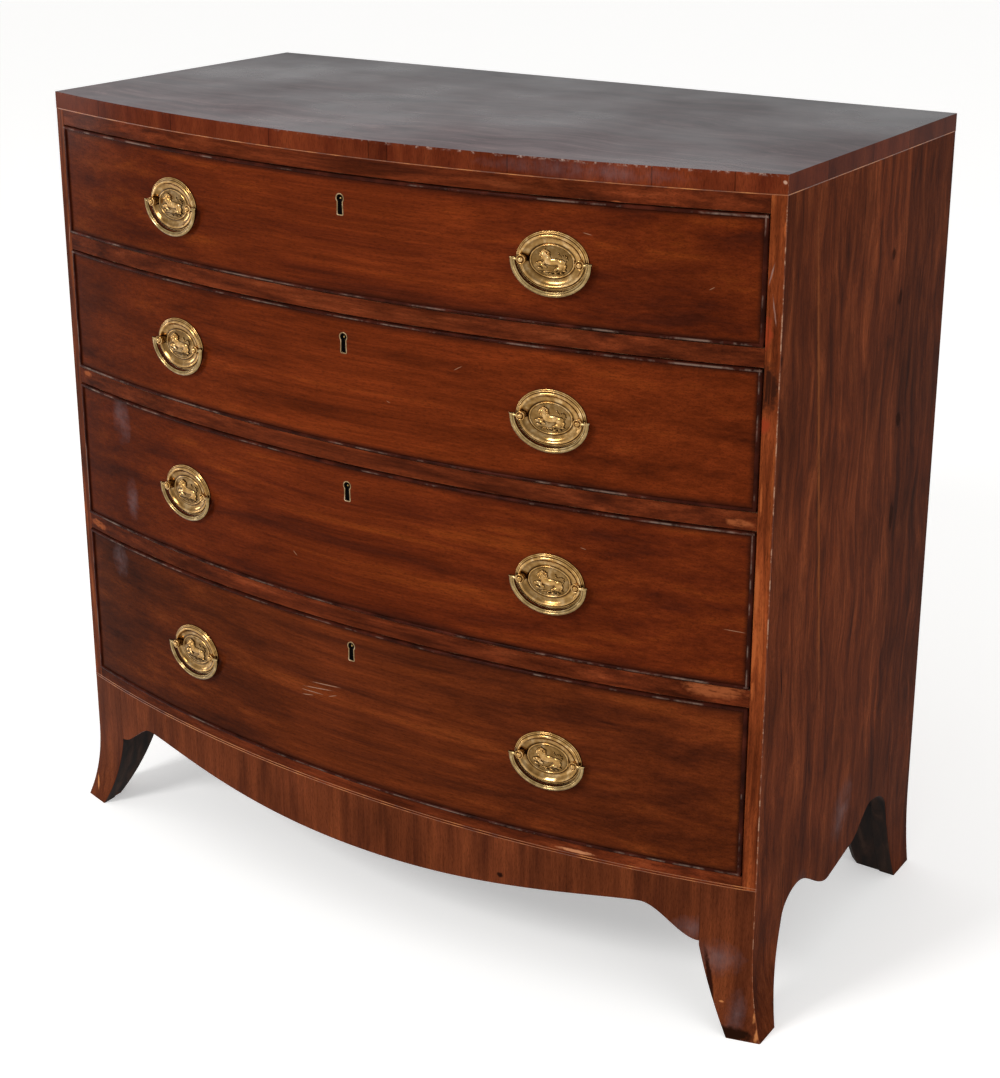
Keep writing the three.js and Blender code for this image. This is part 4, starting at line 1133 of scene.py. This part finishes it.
v = escutcheonValues
escutcheon = drawOutline("escutcheon", keyholeOutline(0, v["flare"], -v["proud"]))
extrude(0, (v["proud"] + v["depth"]) * mm, 0)
pick(lambda p: abs(p.y + v["proud"] * mm) < near, "FACE")
bpy.ops.mesh.inset(thickness=v["wall"] * mm)
extrude(0, (v["proud"] + v["depth"] - v["floor"]) * mm, 0)
faceOutwards(escutcheon)
softenEdges(escutcheon, v["softEdge"] * mm, 2, bailValues["sharpFrom"])
dress(escutcheon, [escutcheonBrass, keyholeShade],
      lambda normal, middle: 1 if middle.y > escutcheonValues["shadeFrom"] * mm else 0)
pin = startPiece("lockPin", bpy.ops.mesh.primitive_cylinder_add, vertices=v["pinSides"], radius=v["pin"] * mm,
                 depth=v["pinLength"] * mm, rotation=(math.pi / 2, 0, 0),
                 location=(0, (v["depth"] - v["pinBack"]) * mm, (v["length"] / 2 - v["radius"]) * mm))
objectMode()
softenEdges(pin, v["pinEdge"] * mm, 2)
dress(pin, [lockBrass])
escutcheon = joinPieces(escutcheon, pin)
cutter = drawOutline("keyholeCutter", keyholeOutline(v["play"], v["flare"] - v["play"], -v["cutFrom"]))
extrude(0, v["cutDepth"] * mm, 0)
faceOutwards(cutter)

# Drawers
# The fades darken both ends of each drawer front: painted shade
drawerValues = {
    "bead": 4, "beadDeep": 9, "beadProud": 2.5, "beadSteps": 8, "beadEnd": 0.2, "crown": (0.93, 0.06),
    "veneerProud": 0.06, "veneerThick": 0.9, "steps": 96, "border": 11, "shadeFades": [("X", -100, -480, 0.59),
                                                                                  ("X", 180, 480, 0.9)],
    "keyholeDrops": [34.5, 33.5, 33.5, 32.5], "handleOffset": 262, "topGap": 1.2,
    "creases": {"brass": 50, "bead": 40, "relief": 180},
    # The bloom patches on drawers 3 and 4 are a painted sheen
    "looks": [
        {"marks": {"#8A6048": [(300, 0, 905, 6, 0.6, 10), (430, 0, 860, 4, 0.5, -30), (-312, 0, 868, 5, 0.5, 55)]}},
        {"offset": (3.7, 0, 2.1), "tones": ["#431809", "#5A220C", "#69290F", "#773212"],
         "marks": {"#8A6048": [(150, 0, 742, 7, 0.5, -30), (60, 0, 690, 3, 0.5, 20)]}},
        {"offset": (6.9, 0, 4.4), "paintedSheen": [(-394, 0, 575, 22, 36, 0), (-380, 0, 473, 15, 32, 0)],
         "marks": {"#8A6048": [(466, 0, 491, 14, 0.6, 3), (-82, 0, 478, 5, 0.7, 40), (300, 0, 560, 4, 0.5, 12)]}},
        {"offset": (9.3, 0, 6.6), "tones": ["#38170C", "#4F210F", "#602911", "#753616"],
         "paintedSheen": [(-417, 0, 378, 20, 26, 0)],
         "marks": {"#94705A": [(-40, 0, 318, 24, 0.7, -5), (-52, 0, 310, 28, 0.7, -7), (-62, 0, 303, 20, 0.6, -2),
                               (-70, 0, 297, 10, 0.6, -10), (-30, 0, 306, 8, 0.5, -20)]}},
    ],
}
bead, beadProud = drawerValues["bead"] * mm, drawerValues["beadProud"] * mm
handleOffset = drawerValues["handleOffset"] * mm
creases = drawerValues["creases"]


def beadNose():
    # The bead's section as (behind the face, across its width), rounded in front
    turns = [math.pi * i / drawerValues["beadSteps"] for i in range(drawerValues["beadSteps"] + 1)]
    nose = [(-beadProud + bead / 2 * (1 - math.sin(turn)), bead / 2 * (1 - math.cos(turn))) for turn in turns]
    deep = drawerValues["beadDeep"] * mm
    return [(deep, 0)] + nose + [(deep, bead)]


# How near a place is to the bead's crown, where the painted highlight goes
def beadCrownHighlight(point):
    start, reach = drawerValues["crown"]
    return ((bowFront(point.x) - point.y) / beadProud - start) / reach


section = beadNose()
for number in range(1, 5):
    body = f"drawer_{number}"
    low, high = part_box(f"{body}_front")
    reach, core = high.x, high.x - bead

    look = {**frontLook, "border": (core, low.z + bead, high.z - bead, drawerValues["border"]),
            "shadeFades": drawerValues["shadeFades"], **drawerValues["looks"][number - 1]}
    veneer = spinBand(f"veneer{number}", -drawerValues["veneerProud"] * mm, drawerValues["veneerThick"] * mm,
                      low.z + bead, high.z - bead, core, drawerValues["steps"])
    keyholeZ = high.z + (drawerValues["topGap"] - drawerValues["keyholeDrops"][number - 1]) * mm
    keyholePlace = Matrix.Translation((0, frontY, keyholeZ))
    hole = copyPiece(cutter, "hole", keyholePlace)
    useModifier(veneer, "BOOLEAN", operation="DIFFERENCE", object=hole, solver="EXACT")
    bpy.data.objects.remove(hole)
    dress(veneer, [polishedMahogany(f"drawerFrontVeneer{number}", look)])
    settle(veneer, body)
    settle(copyPiece(escutcheon, f"escutcheon{number}", keyholePlace), body, crease=creases["brass"])

    upper = spinHalf(f"cockbead{number}", [(inset, high.z - bead + across) for inset, across in section], reach,
                     drawerValues["steps"])
    lower = spinHalf("lowerBead", [(inset, low.z + across) for inset, across in section], reach,
                     drawerValues["steps"])
    end = drawerValues["beadEnd"] * mm
    upright = drawOutline("uprightBead", [(core + across, bowFront(core + across) + inset, low.z + end)
                                          for inset, across in section])
    extrude(0, 0, high.z - low.z - 2 * end)
    faceOutwards(upright)
    beads = joinPieces(upper, lower, upright, mirrorCopy(upright, "otherUpright"))
    markDirtAndPaintedLight(beads, beadCrownHighlight)
    dress(beads, [beadMaterial])
    settle(beads, body, [f"{body}_cockbead"], crease=creases["bead"])

    for side, sign in (("left", -1), ("right", 1)):
        plateLow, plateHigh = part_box(f"{body}_plate_{side}")
        place = (Matrix.Translation((sign * handleOffset, bowFront(handleOffset), (plateLow.z + plateHigh.z) / 2))
                 @ Matrix.Rotation(sign * math.asin(handleOffset / bowRadius), 4, "Z"))
        for model, title, carrier, nodes, crease in (
                (handlePlate, "plate", body, [f"{body}_plate_{side}"], creases["brass"]),
                (lion, "medallion", body, (), creases["relief"]),
                (bail, "bail", f"bail_{number}_{side}", [f"{body}_bail_{side}"], creases["brass"])):
            piece = copyPiece(model, f"{title}{number}{side.capitalize()}", place)
            settle(piece, carrier, nodes, crease)
    print(f"drawer {number} made")
for piece in (handlePlate, lion, bail, escutcheon, cutter):
    bpy.data.objects.remove(piece)

# Floor, world, lights and camera
white = (1, 1, 1, 1)


def seenDirectly(tree, otherwise, shown):
    # One value for the rays that show the background, another for those that only light the chest
    rays = add(tree, "LightPath")
    seen = rays.outputs["Is Camera Ray"]
    for kind in ("Is Glossy Ray", "Is Transmission Ray"):
        seen = add(tree, "Math", {0: seen, 1: rays.outputs[kind]}, operation="MAXIMUM")
    return add(tree, "MapRange", {"Value": seen, "To Min": otherwise, "To Max": shown})


# The floor shows white and keeps the shadow on it
floorValues = {"size": 40, "tone": "#F7F6F4", "shown": 0.37, "rough": 0.9, "mirror": 0.2}
floor = startPiece("floor", bpy.ops.mesh.primitive_plane_add, size=floorValues["size"])
objectMode()
floorMaterial, floorTree, floorShader = newMaterial("paleFloor")
feed(floorTree, floorShader, {
    "Base Color": colour(floorValues["tone"]), "Roughness": floorValues["rough"],
    "Specular IOR Level": floorValues["mirror"], "Emission Color": white,
    "Emission Strength": seenDirectly(floorTree, 0.0, floorValues["shown"])})
dress(floor, [floorMaterial])

worldValues = {"ambient": 0.62, "shown": 1.0}
world = bpy.data.worlds.new("studio")
bpy.context.scene.world = world
world.use_nodes = True
feed(world.node_tree, world.node_tree.nodes["Background"], {
    "Color": white, "Strength": seenDirectly(world.node_tree, worldValues["ambient"], worldValues["shown"])})

lampTarget = Vector((0, 0, 0.5))
lampValues = [  # name, place, size, watts
    ("keyLight", (-1.4, -3.9, 3.3), 1.2, 107),
    ("leftLight", (-3.6, -1.1, 0.7), 0.6, 9),
    ("fillLight", (3.6, -1.2, 2.4), 2.6, 24),
]
for name, place, size, watts in lampValues:
    light = bpy.data.lights.new(name, "AREA")
    light.size = size
    light.energy = watts
    lamp = bpy.data.objects.new(name, light)
    bpy.context.scene.collection.objects.link(lamp)
    lamp.location = place
    lamp.rotation_euler = (lampTarget - Vector(place)).to_track_quat("-Z", "Y").to_euler()

cameraValues = {"place": (1.2841, -1.8914, 1.3334), "yaw": 33.374, "pitch": 17.762, "focal": 1924.8,
                "sensor": 36, "height": 1078, "shift": -0.12}
cameraData = bpy.data.cameras.new("camera")
camera = bpy.data.objects.new("camera", cameraData)
bpy.context.scene.collection.objects.link(camera)
camera.location = cameraValues["place"]
camera.rotation_euler = (math.radians(90 - cameraValues["pitch"]), 0, math.radians(cameraValues["yaw"]))
cameraData.sensor_width = cameraValues["sensor"]
cameraData.lens = cameraValues["focal"] * cameraValues["sensor"] / cameraValues["height"]
cameraData.shift_y = cameraValues["shift"]
bpy.context.scene.camera = camera
bpy.context.scene.view_settings.view_transform = "Standard"
print("stage made")
